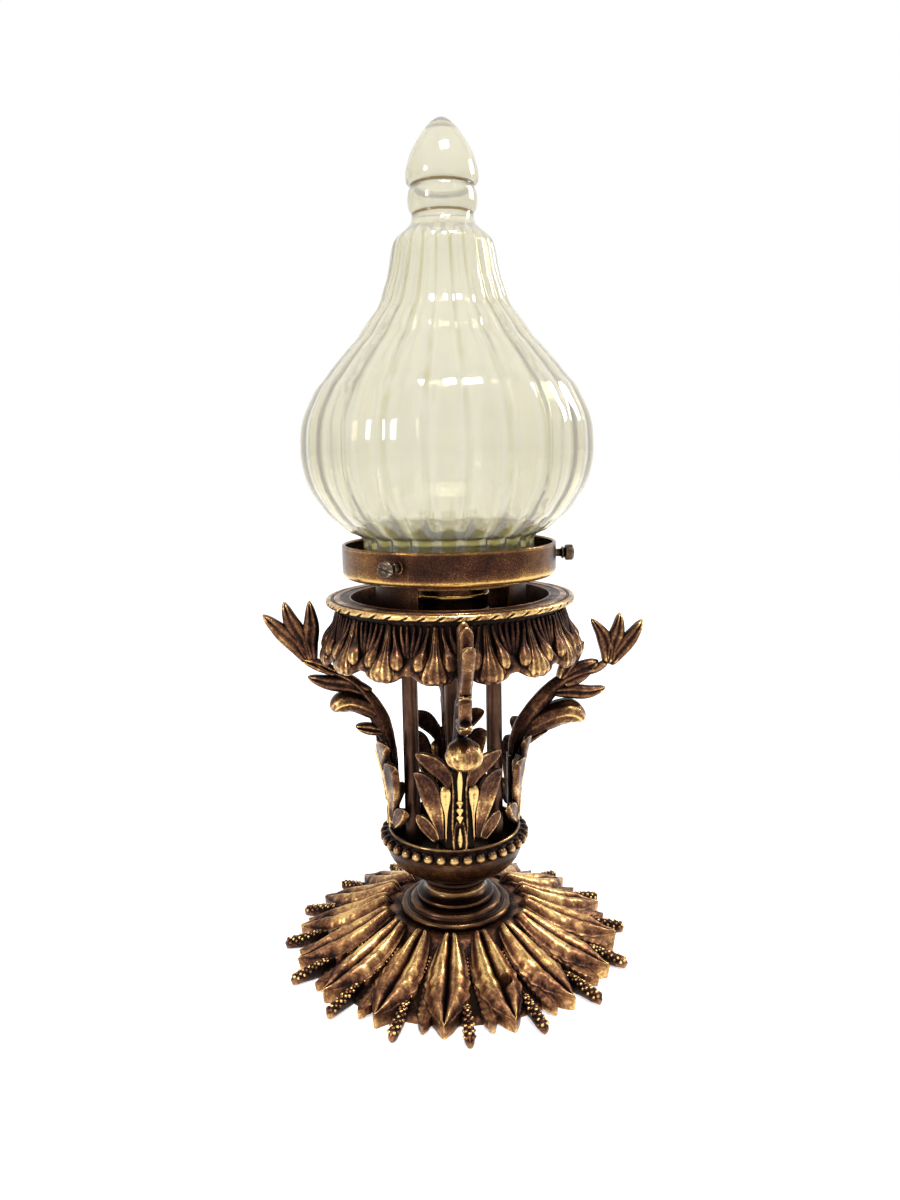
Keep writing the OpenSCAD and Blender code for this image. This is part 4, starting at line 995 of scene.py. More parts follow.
@dataclass
class CupLeaf:
    """Acanthus leaf that stands in the mouth of the bowl in front of a branch."""

    side: Side
    foot: float = 58.5
    height: float = 60.0
    face: float = 33.0
    flare: float = 9.0
    back: float = 1.9
    blade: tuple[Point, ...] = ((0, 0.6), (0.1, 0.85), (0.35, 1), (0.6, 0.95), (0.85, 0.6), (1, 0.06))
    sprig: tuple[Point, ...] = ((0, 0.15), (0.25, 0.7), (0.55, 1), (0.85, 0.75), (1, 0.08))

    def lay(self, x: float, y: float, depth: float) -> Vector:
        """Place of a point x to the side and y up the leaf, at a depth in front of its face."""
        lean = ease((y / self.height - 0.15) / 1.1) ** 1.5
        radius = self.face + self.flare * lean + depth
        turn = math.degrees(math.asin(max(-0.9, min(0.9, x / radius))))
        return polar(radius, self.side.value + turn, self.foot + y)

    def scaled(self, widths: Sequence[Point], half: float) -> tuple[Point, ...]:
        """A width course grown to half widths in millimetres."""
        return tuple((t, w * half) for t, w in widths)

    def patch(self, at: Vector) -> float:
        """Gold left on a big leaflet: a patch on its lower half."""
        z = at.z / MM - Seat.of("acanthus_leaf_front").low
        return 0.42 * bump(z, 29, 9) - 0.12

    def leaflets(self) -> list[tuple[Leaflet, "float | Callable[[Vector], float]"]]:
        """Every leaflet with its gilding, those on the left mirrored to the right."""
        back = self.back
        made = [
            (Leaflet(((0, 0.3), (0, 12), (0, 24), (0, 34), (0, 43), (0, 51)),
                     ((0, 6.4), (0.25, 7.6), (0.5, 8.2), (0.75, 8.0), (0.92, 5.4), (1, 0.6)), 0.1, back, 0.0), -0.45),
            (Leaflet(((0, 6), (0, 12), (0, 18), (0, 25)), ((0, 2.2), (0.2, 3.9), (0.5, 4.0), (0.8, 2.9), (1, 1.0)),
                     2.2, 1.0, 0.0, 0, 0.75), 0.2),
            (Leaflet(((0, 9), (0, 13), (0, 17), (0, 21)), ((0, 0.3), (0.3, 1.5), (0.6, 1.3), (1, 0.2)),
                     2.4, 1.0, 0.0), 0.1),
            (Leaflet(((0, 33), (0, 40), (0, 46), (0, 52)), ((0, 1.1), (0.3, 1.4), (0.7, 1.6), (1, 0.6)),
                     2.6, 1.0, 0.0), 0.5),
        ]
        for n in range(3):
            low = 22.5 + 4 * n
            made.append((Leaflet(((0, low), (0, low + 1.8), (0, low + 3.4), (0, low + 5)),
                                 ((0, 0.3), (0.3, 1.1), (0.7, 2.1), (1, 0.4)), 2.7, 1.0, 0.0, 0, 0.0, around=16,
                                 along=14), 0.15))
        pairs = [
            (((11.2, 12.5), (13.6, 16.6), (17, 20.8), (20.6, 25)),
             ((0, 1.0), (0.25, 2.9), (0.55, 3.8), (0.85, 2.8), (1, 0.2)), 2.0, 0.4, -0.04),
            (((8.7, 13), (9.9, 20), (11.6, 27.5), (13.4, 34.5), (15.6, 42), (18.6, 46.2), (22, 48)),
             ((0, 0.9), (0.15, 2.2), (0.35, 4.2), (0.55, 5.2), (0.72, 4.9), (0.88, 3.0), (1, 0.1)), 2.5, 0.45, None),
            (((3.9, 41), (7, 48), (11.5, 53.4), (16, 56.6), (21, 59)),
             ((0, 1.6), (0.25, 3.6), (0.55, 4.7), (0.85, 2.8), (1, 0.1)), 2.2, 0.35, -0.06),
            (((7, 12), (6.8, 20), (6.7, 28), (6.9, 35), (7, 42.8)),
             ((0, 0.35), (0.3, 0.6), (0.5, 1.1), (0.7, 2.4), (0.86, 2.9), (0.95, 2.0), (1, 0.2)), 2.3, 0.0, 0.5),
            (((3.1, 10), (3.7, 20), (3.3, 32), (3.2, 42), (4.4, 51.4)),
             ((0, 0.3), (0.3, 0.5), (0.7, 0.6), (1, 0.3)), 1.7, 0.0, 0.05),
        ]
        for line, widths, front, rim, gold in pairs:
            for way in (line, mirrored(line)):
                leaflet = Leaflet(way, widths, front, back, 0.12, 0, rim, around=28, along=26)
                made.append((leaflet, self.patch if gold is None else gold))
        return made

    def build(self) -> list[bpy.types.Object]:
        """Casts the leaf."""
        name = self.side.name.lower()
        casting = Casting()
        for leaflet, gold in self.leaflets():
            casting.add(leaflet.form(self.lay), gilding=gold)
        return [casting.finish(f"cup_leaf_{name}", CAST, stands_for=[f"acanthus_leaf_{name}"], sharp=65)]


@dataclass(frozen=True)
class Growth:
    """How a branch grows, in radius and height: its stem with a thickness at each point, its
    leaves as a middle line and a width, and its curl as a line with two half thicknesses."""

    stem: tuple[tuple[float, float, float], ...]
    leaves: tuple[tuple[tuple[Point, ...], float], ...]
    curl: tuple[tuple[float, float, float, float], ...]


SPRAY = (
    (((70.5, 156), (71.4, 167), (70.4, 177), (71, 188.6)), 8.4),
    (((70.8, 156), (75.2, 168), (80.4, 178), (83.6, 188.4)), 8.6),
    (((71, 156), (78, 165.5), (86.4, 174), (94.4, 182.2)), 8.4))
BIG_CURL = ((34, 112.5, 2.6, 3.0), (40, 116.8, 4.8, 3.6), (46, 120.4, 6.2, 4.6), (52, 123.4, 6.8, 6.0),
            (57.5, 125.4, 6.8, 7.8), (62.5, 125.4, 6.4, 8.8), (66.4, 122.6, 4.6, 7.4), (67.6, 119.6, 1.6, 3.6))
SMALL_CURL = ((36, 126, 2.6, 3.0), (41, 130.2, 4.6, 3.8), (46, 133.4, 5.2, 5.0), (51, 135.4, 5.2, 6.4),
              (55.5, 135.6, 5.4, 8.0), (59, 133.6, 4.6, 7.4), (60.6, 130.6, 1.8, 3.6))
SPREADING = Growth(
    stem=((30.9, 100, 3.6), (31.8, 109, 5.6), (36.6, 118, 10), (42, 125.6, 11), (47.8, 133.2, 9.8), (54, 139.5, 8.2),
          (61, 144, 6.8), (69, 146.5, 5.2), (76, 148, 4.6), (81.5, 151.5, 4.6)),
    leaves=((((52, 136.5), (62, 136.2), (72, 135.6), (81, 137.8)), 7.2), (((57, 141), (65, 145.5), (77, 152.3)), 10.4),
            (((56.5, 142), (61, 151), (69.3, 162.6)), 7.4), (((81.5, 150), (81.6, 158), (79, 166), (72.9, 174.4)), 7.8),
            (((82, 150), (84.4, 160), (87, 168), (88, 177.2)), 7.8),
            (((82.4, 150), (88.4, 157.5), (94.8, 165), (100.1, 173.3)), 7.8),
            (((34, 103), (38, 110), (44, 114), (51, 116.6)), 5.0)),
    curl=BIG_CURL)
UPRIGHT = Growth(
    stem=((30.9, 100, 3.6), (31.8, 109, 5.6), (34.4, 117, 9), (37, 125, 10.6), (40.6, 132.5, 9.6), (44.6, 139.5, 7.2),
          (50, 145.8, 5.4), (57, 150.2, 4.6), (64, 153, 4.4), (70, 157, 4.6)),
    leaves=((((41, 139.5), (52, 144), (64, 146.2), (73.6, 149.4)), 8.0), (((35, 119), (43, 120.6), (50.2, 122.4)), 6.0),
            (((58, 150.5), (67, 155), (76.5, 158.5)), 5.8), *SPRAY),
    curl=SMALL_CURL)
FACING = Growth(
    stem=((30.9, 100, 3.6), (31.8, 109, 5.6), (36, 118, 9), (41.5, 126, 9.6), (47, 134, 8.4), (52, 141.5, 6.8),
          (57, 147.5, 5.4), (63, 151.5, 4.6), (67.5, 154, 4.4), (71, 158, 4.6)),
    leaves=((((51, 137.5), (64, 139.5), (77.5, 142.5)), 7.4), (((58, 148.5), (67, 152.5), (76, 156)), 5.8),
            (((69.5, 141), (71, 152), (71.6, 164), (71.3, 176)), 7.0), *SPRAY),
    curl=BIG_CURL)


@dataclass
class Branch:
    """Branch behind a cup leaf: a curved stem with a curl, side leaves and a spray of three leaves."""

    side: Side
    growth: Growth
    width: float = 6.8
    leaf_width: float = 6.2
    root_foot: float = 58.5
    root_inner: float = 28.6
    root_thick: float = 2.1

    def lay(self, r: float, z: float, depth: float) -> Vector:
        """Place of a point at radius r and height z, at a depth to the side of the branch's plane."""
        turn = Matrix.Rotation(math.radians(self.side.value), 3, "Z")
        return turn @ Vector((r, depth, z)) * MM

    def root(self) -> bmesh.types.BMesh:
        """Flat root of the branch, which the cup leaf's screw holds."""
        low, high = self.root_foot, self.growth.stem[0][1] + 4
        bm = bmesh.new()
        turn = Matrix.Rotation(math.radians(self.side.value), 4, "Z")
        size = Matrix.Diagonal((self.root_thick * MM, self.width * MM, (high - low) * MM, 1))
        middle = Matrix.Translation(Vector((self.root_inner + self.root_thick / 2, 0, (low + high) / 2)) * MM)
        bmesh.ops.create_cube(bm, size=1.0, matrix=turn @ middle @ size)
        bmesh.ops.bevel(bm, geom=bm.edges, offset=0.45 * MM, offset_type="OFFSET", segments=3, profile=0.5,
                        affect="EDGES", material=-1)
        return bm

    def leaf(self, line: tuple[Point, ...], width: float) -> bmesh.types.BMesh:
        """One thick cast leaf with a ridge and raised rims on both sides.

        Args:
            line: radius and height of the points of its middle line.
            width: its width in millimetres.

        Returns:
            The leaf.
        """
        half = width / 2
        widths = ((0, 0.5 * half), (0.2, 0.85 * half), (0.42, 1.04 * half), (0.62, 0.97 * half), (0.82, 0.6 * half),
                  (0.94, 0.24 * half), (1, 0.04 * half))
        deep = self.leaf_width / 2
        return Leaflet(line, widths, deep, deep, 0.26, 0, 0.0, roundness=0.5, around=28, along=28).form(self.lay)

    def lighter_by_place(self, at: Vector) -> float:
        """Gold left on the curl: none at its start, most on its round end."""
        r = math.hypot(at.x, at.y) / MM
        start, end = self.growth.curl[2][0], self.growth.curl[-1][0]
        return mix(-0.1, 0.24, ease((r - start) / (end - start - 4)))

    def build(self) -> list[bpy.types.Object]:
        """Casts the branch."""
        name = self.side.name.lower()
        casting = Casting().add(self.root(), gilding=-0.2)
        points = [(r, z, thick / 2, self.width / 2) for r, z, thick in self.growth.stem]
        casting.add(tube(points, self.lay, 6, 0.1), gilding=-0.06)
        casting.add(tube(self.growth.curl, self.lay, 10, 0.05, 56, 48), gilding=self.lighter_by_place)
        for line, width in self.growth.leaves:
            casting.add(self.leaf(line, width), gilding=-0.02)
        return [casting.finish(f"leafy_branch_{name}", CAST, stands_for=[f"leaf_branch_{name}"], sharp=60)]


@dataclass
class Rod:
    """Brown tube that holds the top frame up."""

    node: str
    turn: float
    circle: float = 24.4
    radius: float = 4.0
    bore: float = 2.25
    head_radius: float = 5.5
    tail_radius: float = 3.0
    plate: float = 168.0
    wire_holes: tuple[float, ...] = ()

    def build(self) -> list[bpy.types.Object]:
        """Turns the tube, and cuts and lines its wire holes."""
        seat = Seat.of(self.node)
        r, z, head = self.radius, seat.low, self.head_radius
        flare = [(keyed(((0, r), (4, r + 0.05), (8, r + 0.5), (11, head - 0.2), (12.6, head), (14, head)), k),
                  self.plate - 14 + k) for k in range(0, 15)]
        wall = [(r, z), *[(r, h) for h in np.arange(z + 3, self.plate - 16, 0.9)], *flare]
        inner = [(self.tail_radius, self.plate), (self.tail_radius, seat.high), (self.bore, seat.high)]
        shaft = turned([*wall, *inner, *[(self.bore, h) for _, h in reversed(wall[1:-1])], (self.bore, z)], 48)
        holes = [Vector((-r, 0, z)) * MM for z in self.wire_holes]
        gone = [f for f in shaft.faces if any((f.calc_center_median() - h).length < 1.75 * MM for h in holes)]
        bmesh.ops.delete(shaft, geom=gone, context="FACES")
        casting = Casting().add(shaft)
        for hole in holes:
            eyelet = turned(rounded([(1.8, -2.0), (2.3, -2.0), (2.5, 0.2), (2.4, 0.45), (1.95, 0.45), (1.8, 0.2)],
                                    0.2), 32)
            bmesh.ops.transform(eyelet, verts=eyelet.verts, matrix=Matrix.Translation(hole)
                                @ Matrix.Rotation(-math.pi / 2, 4, "Y"))
            casting.add(eyelet)
        spot = polar(self.circle, self.turn, 0)
        place = Matrix.Translation(spot) @ Matrix.Rotation(math.radians(self.turn), 4, "Z")
        bmesh.ops.transform(casting.bm, verts=casting.bm.verts, matrix=place)
        return [casting.finish(f"brown_tube_{self.node.rsplit('_', 1)[1]}", ROD, stands_for=[self.node])]


# ---------------------------------------------------------------- frame ring and skirt


def sheet_holes(bm: bmesh.types.BMesh, inside: Callable[[Vector], bool]) -> None:
    """Cuts a hole into a thin sheet.

    Args:
        bm: the sheet.
        inside: tells whether a face whose middle is given lies in the hole.
    """
    gone = [f for f in bm.faces if inside(f.calc_center_median())]
    bmesh.ops.delete(bm, geom=gone, context="FACES")


def thicken(bm: bmesh.types.BMesh, wall: float) -> None:
    """Gives a sheet a wall of some millimetres on its inner side, so that its outside stays.

    Args:
        bm: a turned sheet, drawn on its outside.
        wall: the thickness of the wall.
    """
    bmesh.ops.recalc_face_normals(bm, faces=bm.faces)
    outward = sum(f.normal.dot(Vector((f.calc_center_median().x, f.calc_center_median().y, 0))) * f.calc_area()
                  for f in bm.faces)
    if outward < 0:
        bmesh.ops.reverse_faces(bm, faces=bm.faces)
    bmesh.ops.solidify(bm, geom=bm.faces, thickness=wall * MM)
    bmesh.ops.recalc_face_normals(bm, faces=bm.faces)


def azimuth(at: Vector) -> float:
    """Direction of a point round the lamp's axis, in degrees from 0 to 360."""
    return math.degrees(math.atan2(at.y, at.x)) % 360


@dataclass
class FrameRing:
    """Flat ring with a rope edge, and the collar that hangs from it."""

    hole: float = 50.0
    collar: float = 2.5
    flange: float = 7.0
    flange_thick: float = 2.0
    rope_radius: float = 1.6
    strands: int = 48
    twist: float = 1.4

    def rope(self, reach: float, z: float) -> bmesh.types.BMesh:
        """Twisted rope round the edge.

        Args:
            reach: its outer radius.
            z: height of its middle.

        Returns:
            The closed rope.
        """
        middle = reach - self.rope_radius
        bm = turned([(middle + self.rope_radius * math.cos(a), z + self.rope_radius * math.sin(a))
                     for a in np.linspace(0, math.tau, 17)[:-1]], self.strands * 14)
        for v in bm.verts:
            out = math.hypot(v.co.x, v.co.y) / MM - middle
            up = v.co.z / MM - z
            side = math.atan2(up, out)
            phase = (self.strands * math.radians(azimuth(v.co)) - self.twist * side) / math.tau % 1 - 0.5
            size = 1 - 0.5 * bump(phase, 0.0, 0.15) * ease(math.cos(side + 0.9) * 1.5)
            around = Vector((v.co.x, v.co.y, 0)).normalized()
            v.co = (around * (middle + out * size) + Vector((0, 0, z + up * size))) * MM
        return bm

    def build(self) -> list[bpy.types.Object]:
        """Turns the ring and lays the rope."""
        seat = Seat.of("frame_ring")
        low, top, reach = seat.low, seat.high, seat.reach
        plate = top - 3.9
        wall = self.hole + self.collar
        section = rounded([(self.hole - self.flange, low), (wall - 0.6, low), (wall, low + 0.6), (wall, plate - 0.8),
                           (wall + 0.8, plate), (reach - 4.6, plate), (reach - 4.0, plate + 0.4), (reach - 2.0, plate + 0.6),
                           (reach - 2.0, top - 0.9), (reach - 3.9, top - 0.8), (reach - 4.2, top - 0.1), (reach - 7.0, top),
                           (reach - 7.4, top - 0.5), (self.hole + 1.0, top - 0.5), (self.hole + 0.6, top),
                           (self.hole, top), (self.hole, low + self.flange_thick),
                           (self.hole - self.flange, low + self.flange_thick)], 0.3)
        # the flat top face is painted lighter than the collar: a painted highlight from the light above
        casting = Casting().add(turned(section, 180), gilding=lambda at: 0.38 * ease((at.z / MM - plate) / 3) - 0.1)
        casting.add(self.rope(reach, top - 1.75), gilding=0.12)
        return [casting.finish("rope_edged_ring", CAST, stands_for=["frame_ring"], sharp=50)]


@dataclass
class Skirt:
    """Cast crown of curled lobes under the frame ring."""

    lobes: int = 16
    first: float = 4.6
    rise: float = 3.6
    outside: tuple[Point, ...] = ((57.5, 186), (57.4, 184.4), (56.9, 183.6), (57.1, 181), (57.5, 178.5), (58, 176),
                                  (58.9, 173), (60, 170), (61.6, 167.6), (63.5, 165.3), (65.5, 163), (66.6, 161),
                                  (66.4, 159.4), (65.4, 158.4))
    inside: tuple[Point, ...] = ((64.0, 158.9), (62.4, 161), (60.6, 163.6), (58.6, 167), (57, 170), (55.8, 174),
                                 (55, 180), (54.7, 186))

    @property
    def step(self) -> float:
        """Angle from lobe to lobe, in degrees."""
        return 360 / self.lobes

    def shell(self) -> bmesh.types.BMesh:
        """The fluted and scalloped wall."""
        bm = turned([*self.outside, *self.inside], self.lobes * 24)
        for v in bm.verts:
            r, z = math.hypot(v.co.x, v.co.y) / MM, v.co.z / MM
            share = ((azimuth(v.co) - self.first) / self.step) % 1
            notch = abs(math.cos(math.pi * share)) ** 4
            low, flute = ease((177 - z) / 15), abs(math.cos(2.5 * math.tau * share / 1.0)) ** 0.8
            outer = r > keyed([(h, q) for q, h in reversed(self.inside)], z) + 0.6
            if outer:
                r -= 1.1 * (1 - flute) * ease((184 - z) / 4)
            at = polar(r - 1.6 * low * notch, azimuth(v.co), z + self.rise * low * notch)
            v.co = at + chased(at, 0.2, 3.5) * min(1.0, max(0.0, (185.5 - z) / 3))
        return bm

    def curl(self, turn: float, points: Sequence[Sequence[float]], flutes: int = 0, depth: float = 0.14,
             spread: float = 0.0, grain: int = 28) -> bmesh.types.BMesh:
        """One curled lobe of a leaf, with the rib that runs down to it.

        Args:
            turn: its direction in degrees.
            points: its middle line as radius, height, half thickness and half width.
            flutes: grooves round it.
            depth: how deep the grooves are, as a share of its size.
            spread: how many degrees it swings aside on its way down.
            grain: points round it and along it.

        Returns:
            The lobe.
        """
        def lay(r: float, z: float, aside: float) -> Vector:
            way = Matrix.Rotation(math.radians(turn + spread * ease((183 - z) / 15)), 3, "Z")
            return way @ Vector((r, aside, z)) * MM
        return tube(points, lay, flutes, depth, grain, grain)

    def build(self) -> list[bpy.types.Object]:
        """Casts the wall and its lobes: a broad scallop, a round curl on either side, and leaf ribs above."""
        casting = Casting().add(self.shell(), gilding=lambda at: -0.2 + 0.15 * ease((172 - at.z / MM) / 10))
        scallop = [(57.4, 184.6, 0.5, 1.3), (58.1, 180, 1.1, 1.7), (59.4, 175.5, 1.5, 2.2), (61, 171, 2.1, 3.4),
                   (63, 166.8, 2.7, 5.6), (64.2, 163.2, 3.0, 7.6), (64.2, 160.6, 2.6, 7.4), (63.1, 158.8, 0.9, 4.8)]
        ball = [(57.5, 184, 0.5, 0.7), (58.3, 180, 1.0, 0.9), (59.3, 176.5, 1.2, 1.1), (60.6, 173.4, 1.7, 1.9),
                (62, 170.2, 2.9, 3.3), (62.7, 167.2, 3.3, 3.7), (62.5, 164.6, 2.4, 2.7), (62, 163, 0.8, 1.0)]
        rib = [(57.4, 184.4, 0.5, 0.6), (58.2, 179.5, 1.0, 0.9), (59, 175, 1.3, 1.3), (59.8, 171.4, 1.3, 1.6),
               (60.3, 168.6, 0.7, 0.9)]
        for k in range(self.lobes):
            turn = self.first + (k + 0.5) * self.step
            casting.add(self.curl(turn, scallop, 12, grain=38), gilding=self.lighter_by_place)
            for way in (-1, 1):
                casting.add(self.curl(turn + way * 3.2, ball, 8, 0.07, way * 3.1), gilding=self.lighter_by_place)
                casting.add(self.curl(turn + way * 6.6, rib, spread=way * 2.6, grain=16), gilding=-0.1)
                casting.add(self.curl(turn + way * 9.6, rib, spread=way * 0.8, grain=16), gilding=-0.22)
        return [casting.finish("curled_leaf_skirt", CAST, stands_for=["leaf_skirt"], sharp=60)]

    def lighter_by_place(self, at: Vector) -> float:
        """Gold left on a lobe: none under the ring, most where it curls out."""
        return mix(-0.14, 0.17, ease((175 - at.z / MM) / 8))


# ---------------------------------------------------------------- drum, gallery and thumb screws


@dataclass
class Drum:
    """Brass drum with three windows."""

    wall: float = 1.2
    floor_radius: float = 31.0
    floor_thick: float = 1.5
    roof_radius: float = 34.0
    roof_thick: float = 1.0
    window: tuple[float, float] = (176.0, 197.0)
    window_turn: float = -77.5
    window_angle: float = 71.0

    def opened(self, at: Vector) -> bool:
        """Tells whether a place lies in one of the windows."""
        low, high = self.window
        away = (azimuth(at) - self.window_turn + 60) % 120 - 60
        return abs(away) < self.window_angle / 2 and low < at.z / MM < high

    def build(self) -> list[bpy.types.Object]:
        """Rolls the drum from sheet, cuts its windows and sets its floor."""
        seat, head = Seat.of("drum_base"), Seat.of("drum_head")
        low, high = self.window
        steps = [seat.low + self.floor_thick + 0.02, *np.linspace(low, high, 9), head.high - self.roof_thick - 0.02]
        sheet = turned([(seat.reach, z) for z in steps], 360, closed=False)
        sheet_holes(sheet, self.opened)
        thicken(sheet, self.wall)
        floor = turned(rounded([(self.floor_radius, seat.low), (seat.reach - 0.1, seat.low),
                                (seat.reach - 0.1, seat.low + self.floor_thick),
                                (self.floor_radius, seat.low + self.floor_thick)], 0.3))
        roof = turned(rounded([(self.roof_radius, head.high - self.roof_thick), (head.reach - 0.1, head.high - self.roof_thick),
                               (head.reach - 0.1, head.high), (self.roof_radius, head.high)], 0.3))
        casting = Casting().add(sheet).add(floor).add(roof)
        posts = [f"drum_post_{way}" for way in ("right", "back", "left")]
        return [casting.finish("windowed_drum", BRASS, stands_for=["drum_base", "drum_head", *posts])]


@dataclass
class Gallery:
    """Spun brass cup that holds the neck of the glass."""

    sheet: float = 0.8
    bend: float = 3.0
    hole: float = 34.0
    screw_turns: tuple[float, float, float] = (2.5, 122.5, 242.5)
    screw_height: float = 209.4
    screw_hole: float = 2.05

    def build(self) -> list[bpy.types.Object]:
        """Spins the cup, rolls its rim and lines its screw holes."""
        seat = Seat.of("gallery")
        low, top, reach = seat.low, seat.high, seat.reach
        corner = [(reach - self.bend * (1 - math.sin(a)), low + self.bend * (1 - math.cos(a)))
                  for a in np.radians(np.arange(0, 91, 10))]
        wall = [(reach, z) for z in np.arange(low + self.bend + 0.8, top - 1.2, 0.8)]
        floor = [(r, low) for r in (self.hole, 38, 42, 46)]
        cup = turned([*floor, *corner, *wall, (reach, top - 1.0)], 480, closed=False)
        holes = [polar(reach, turn, self.screw_height) for turn in self.screw_turns]
        sheet_holes(cup, lambda at: any((at - hole).length < 2.3 * MM for hole in holes))
        thicken(cup, self.sheet)
        # painted highlights: a band along the rounded foot and patches on the left and right sides
        casting = Casting().add(cup, gilding=lambda at: self.lighter_by_place(at, low))
        bead_radius = 0.85
        rim = [(reach - bead_radius + bead_radius * math.cos(a), top - bead_radius + bead_radius * math.sin(a))
               for a in np.linspace(0, math.tau, 13)[:-1]]
        casting.add(turned(rim, 240), gilding=0.1)
        boss = turned(rounded([(self.screw_hole, -1.5), (3.1, -1.5), (3.3, -0.7), (3.9, -0.5), (3.9, 0.35), (3.5, 0.4),
                               (self.screw_hole, 0.4)], 0.2), 40)
        bmesh.ops.transform(boss, verts=boss.verts, matrix=Matrix.Translation(
            Vector((seat.reach - 0.42, 0, self.screw_height)) * MM) @ Matrix.Rotation(math.pi / 2, 4, "Y"))
        casting.add(boss, self.screw_turns)
        return [casting.finish("spun_gallery", BRASS, stands_for=["gallery"])]

    def lighter_by_place(self, at: Vector, low: float) -> float:
        """How much lighter the cup is by place: a painted highlight band along its rounded foot, and painted highlights
        on its left and right sides, fewer in front.
        """
        aside = abs((azimuth(at) + 90) % 360 - 180)
        z = at.z / MM - low
        return 0.4 * ease((3.4 - z) / 1.6) + 0.25 * ease((8 - z) / 6) + 0.3 * bump(180 - aside, 62, 38) - 0.14


@dataclass
class ThumbScrew:
    """Slotted screw that grips the neck of the glass."""

    node: str
    turn: float
    height: float = 209.4
    tip: float = 44.2
    shank: float = 1.95
    shank_length: float = 12.7
    head: float = 4.0
    head_length: float = 6.1
    slot: float = 0.9
    slot_depth: float = 1.4
    pitch: float = 0.75

    def head_end(self, way: int) -> bmesh.types.BMesh:
        """Half of the slotted end of the head, on one side of the slot."""
        start, end = self.shank_length + self.head_length - self.slot_depth, self.shank_length + self.head_length
        bm = turned(rounded([(0, start - 0.01), (self.head, start - 0.01), (self.head, end - 0.7),
                             (self.head - 0.8, end), (0, end)], 0.5, 4), 48)
        bmesh.ops.bisect_plane(bm, geom=[*bm.verts, *bm.edges, *bm.faces], plane_co=(0, way * self.slot / 2 * MM, 0),
                               plane_no=(0, -way, 0), clear_outer=True)
        bmesh.ops.holes_fill(bm, edges=[e for e in bm.edges if e.is_boundary])
        return bm

    def build(self) -> list[bpy.types.Object]:
        """Turns the screw, cuts its thread and its slot."""
        r, length, head = self.shank, self.shank_length, self.head
        thread = []
        z = 1.0
        while z < length - 2.2:
            thread += [(r, z), (r, z + 0.15), (r - 0.26, z + self.pitch / 2), (r, z + self.pitch - 0.15)]
            z += self.pitch
        start = length + self.head_length - self.slot_depth
        section = [(0, 0), (r - 0.7, 0), (r - 0.2, 0.5), *thread, (r, z), (r, length - 0.5), (r + 0.35, length),
                   (r + 1.0, length + 0.15), (r + 1.2, length + 0.6), (r + 0.9, length + 1.0), (r + 0.45, length + 1.3),
                   (r + 0.6, length + 1.7), (head - 0.6, length + 1.9), (head - 0.1, length + 2.2), (head, length + 2.7),
                   (head, start), (0, start)]
        casting = Casting().add(turned(section, 48)).add(self.head_end(1)).add(self.head_end(-1))
        slant = Matrix.Rotation(math.radians(self.turn * 1.7 + 20), 4, "Z")
        place = (Matrix.Rotation(math.radians(self.turn), 4, "Z") @ Matrix.Translation(
            Vector((self.tip, 0, self.height)) * MM) @ Matrix.Rotation(math.pi / 2, 4, "Y") @ slant)
        bmesh.ops.transform(casting.bm, verts=casting.bm.verts, matrix=place)
        return [casting.finish(self.node, STEEL, body=self.node, stands_for=[self.node], sharp=35)]


# ---------------------------------------------------------------- glass and lampholder


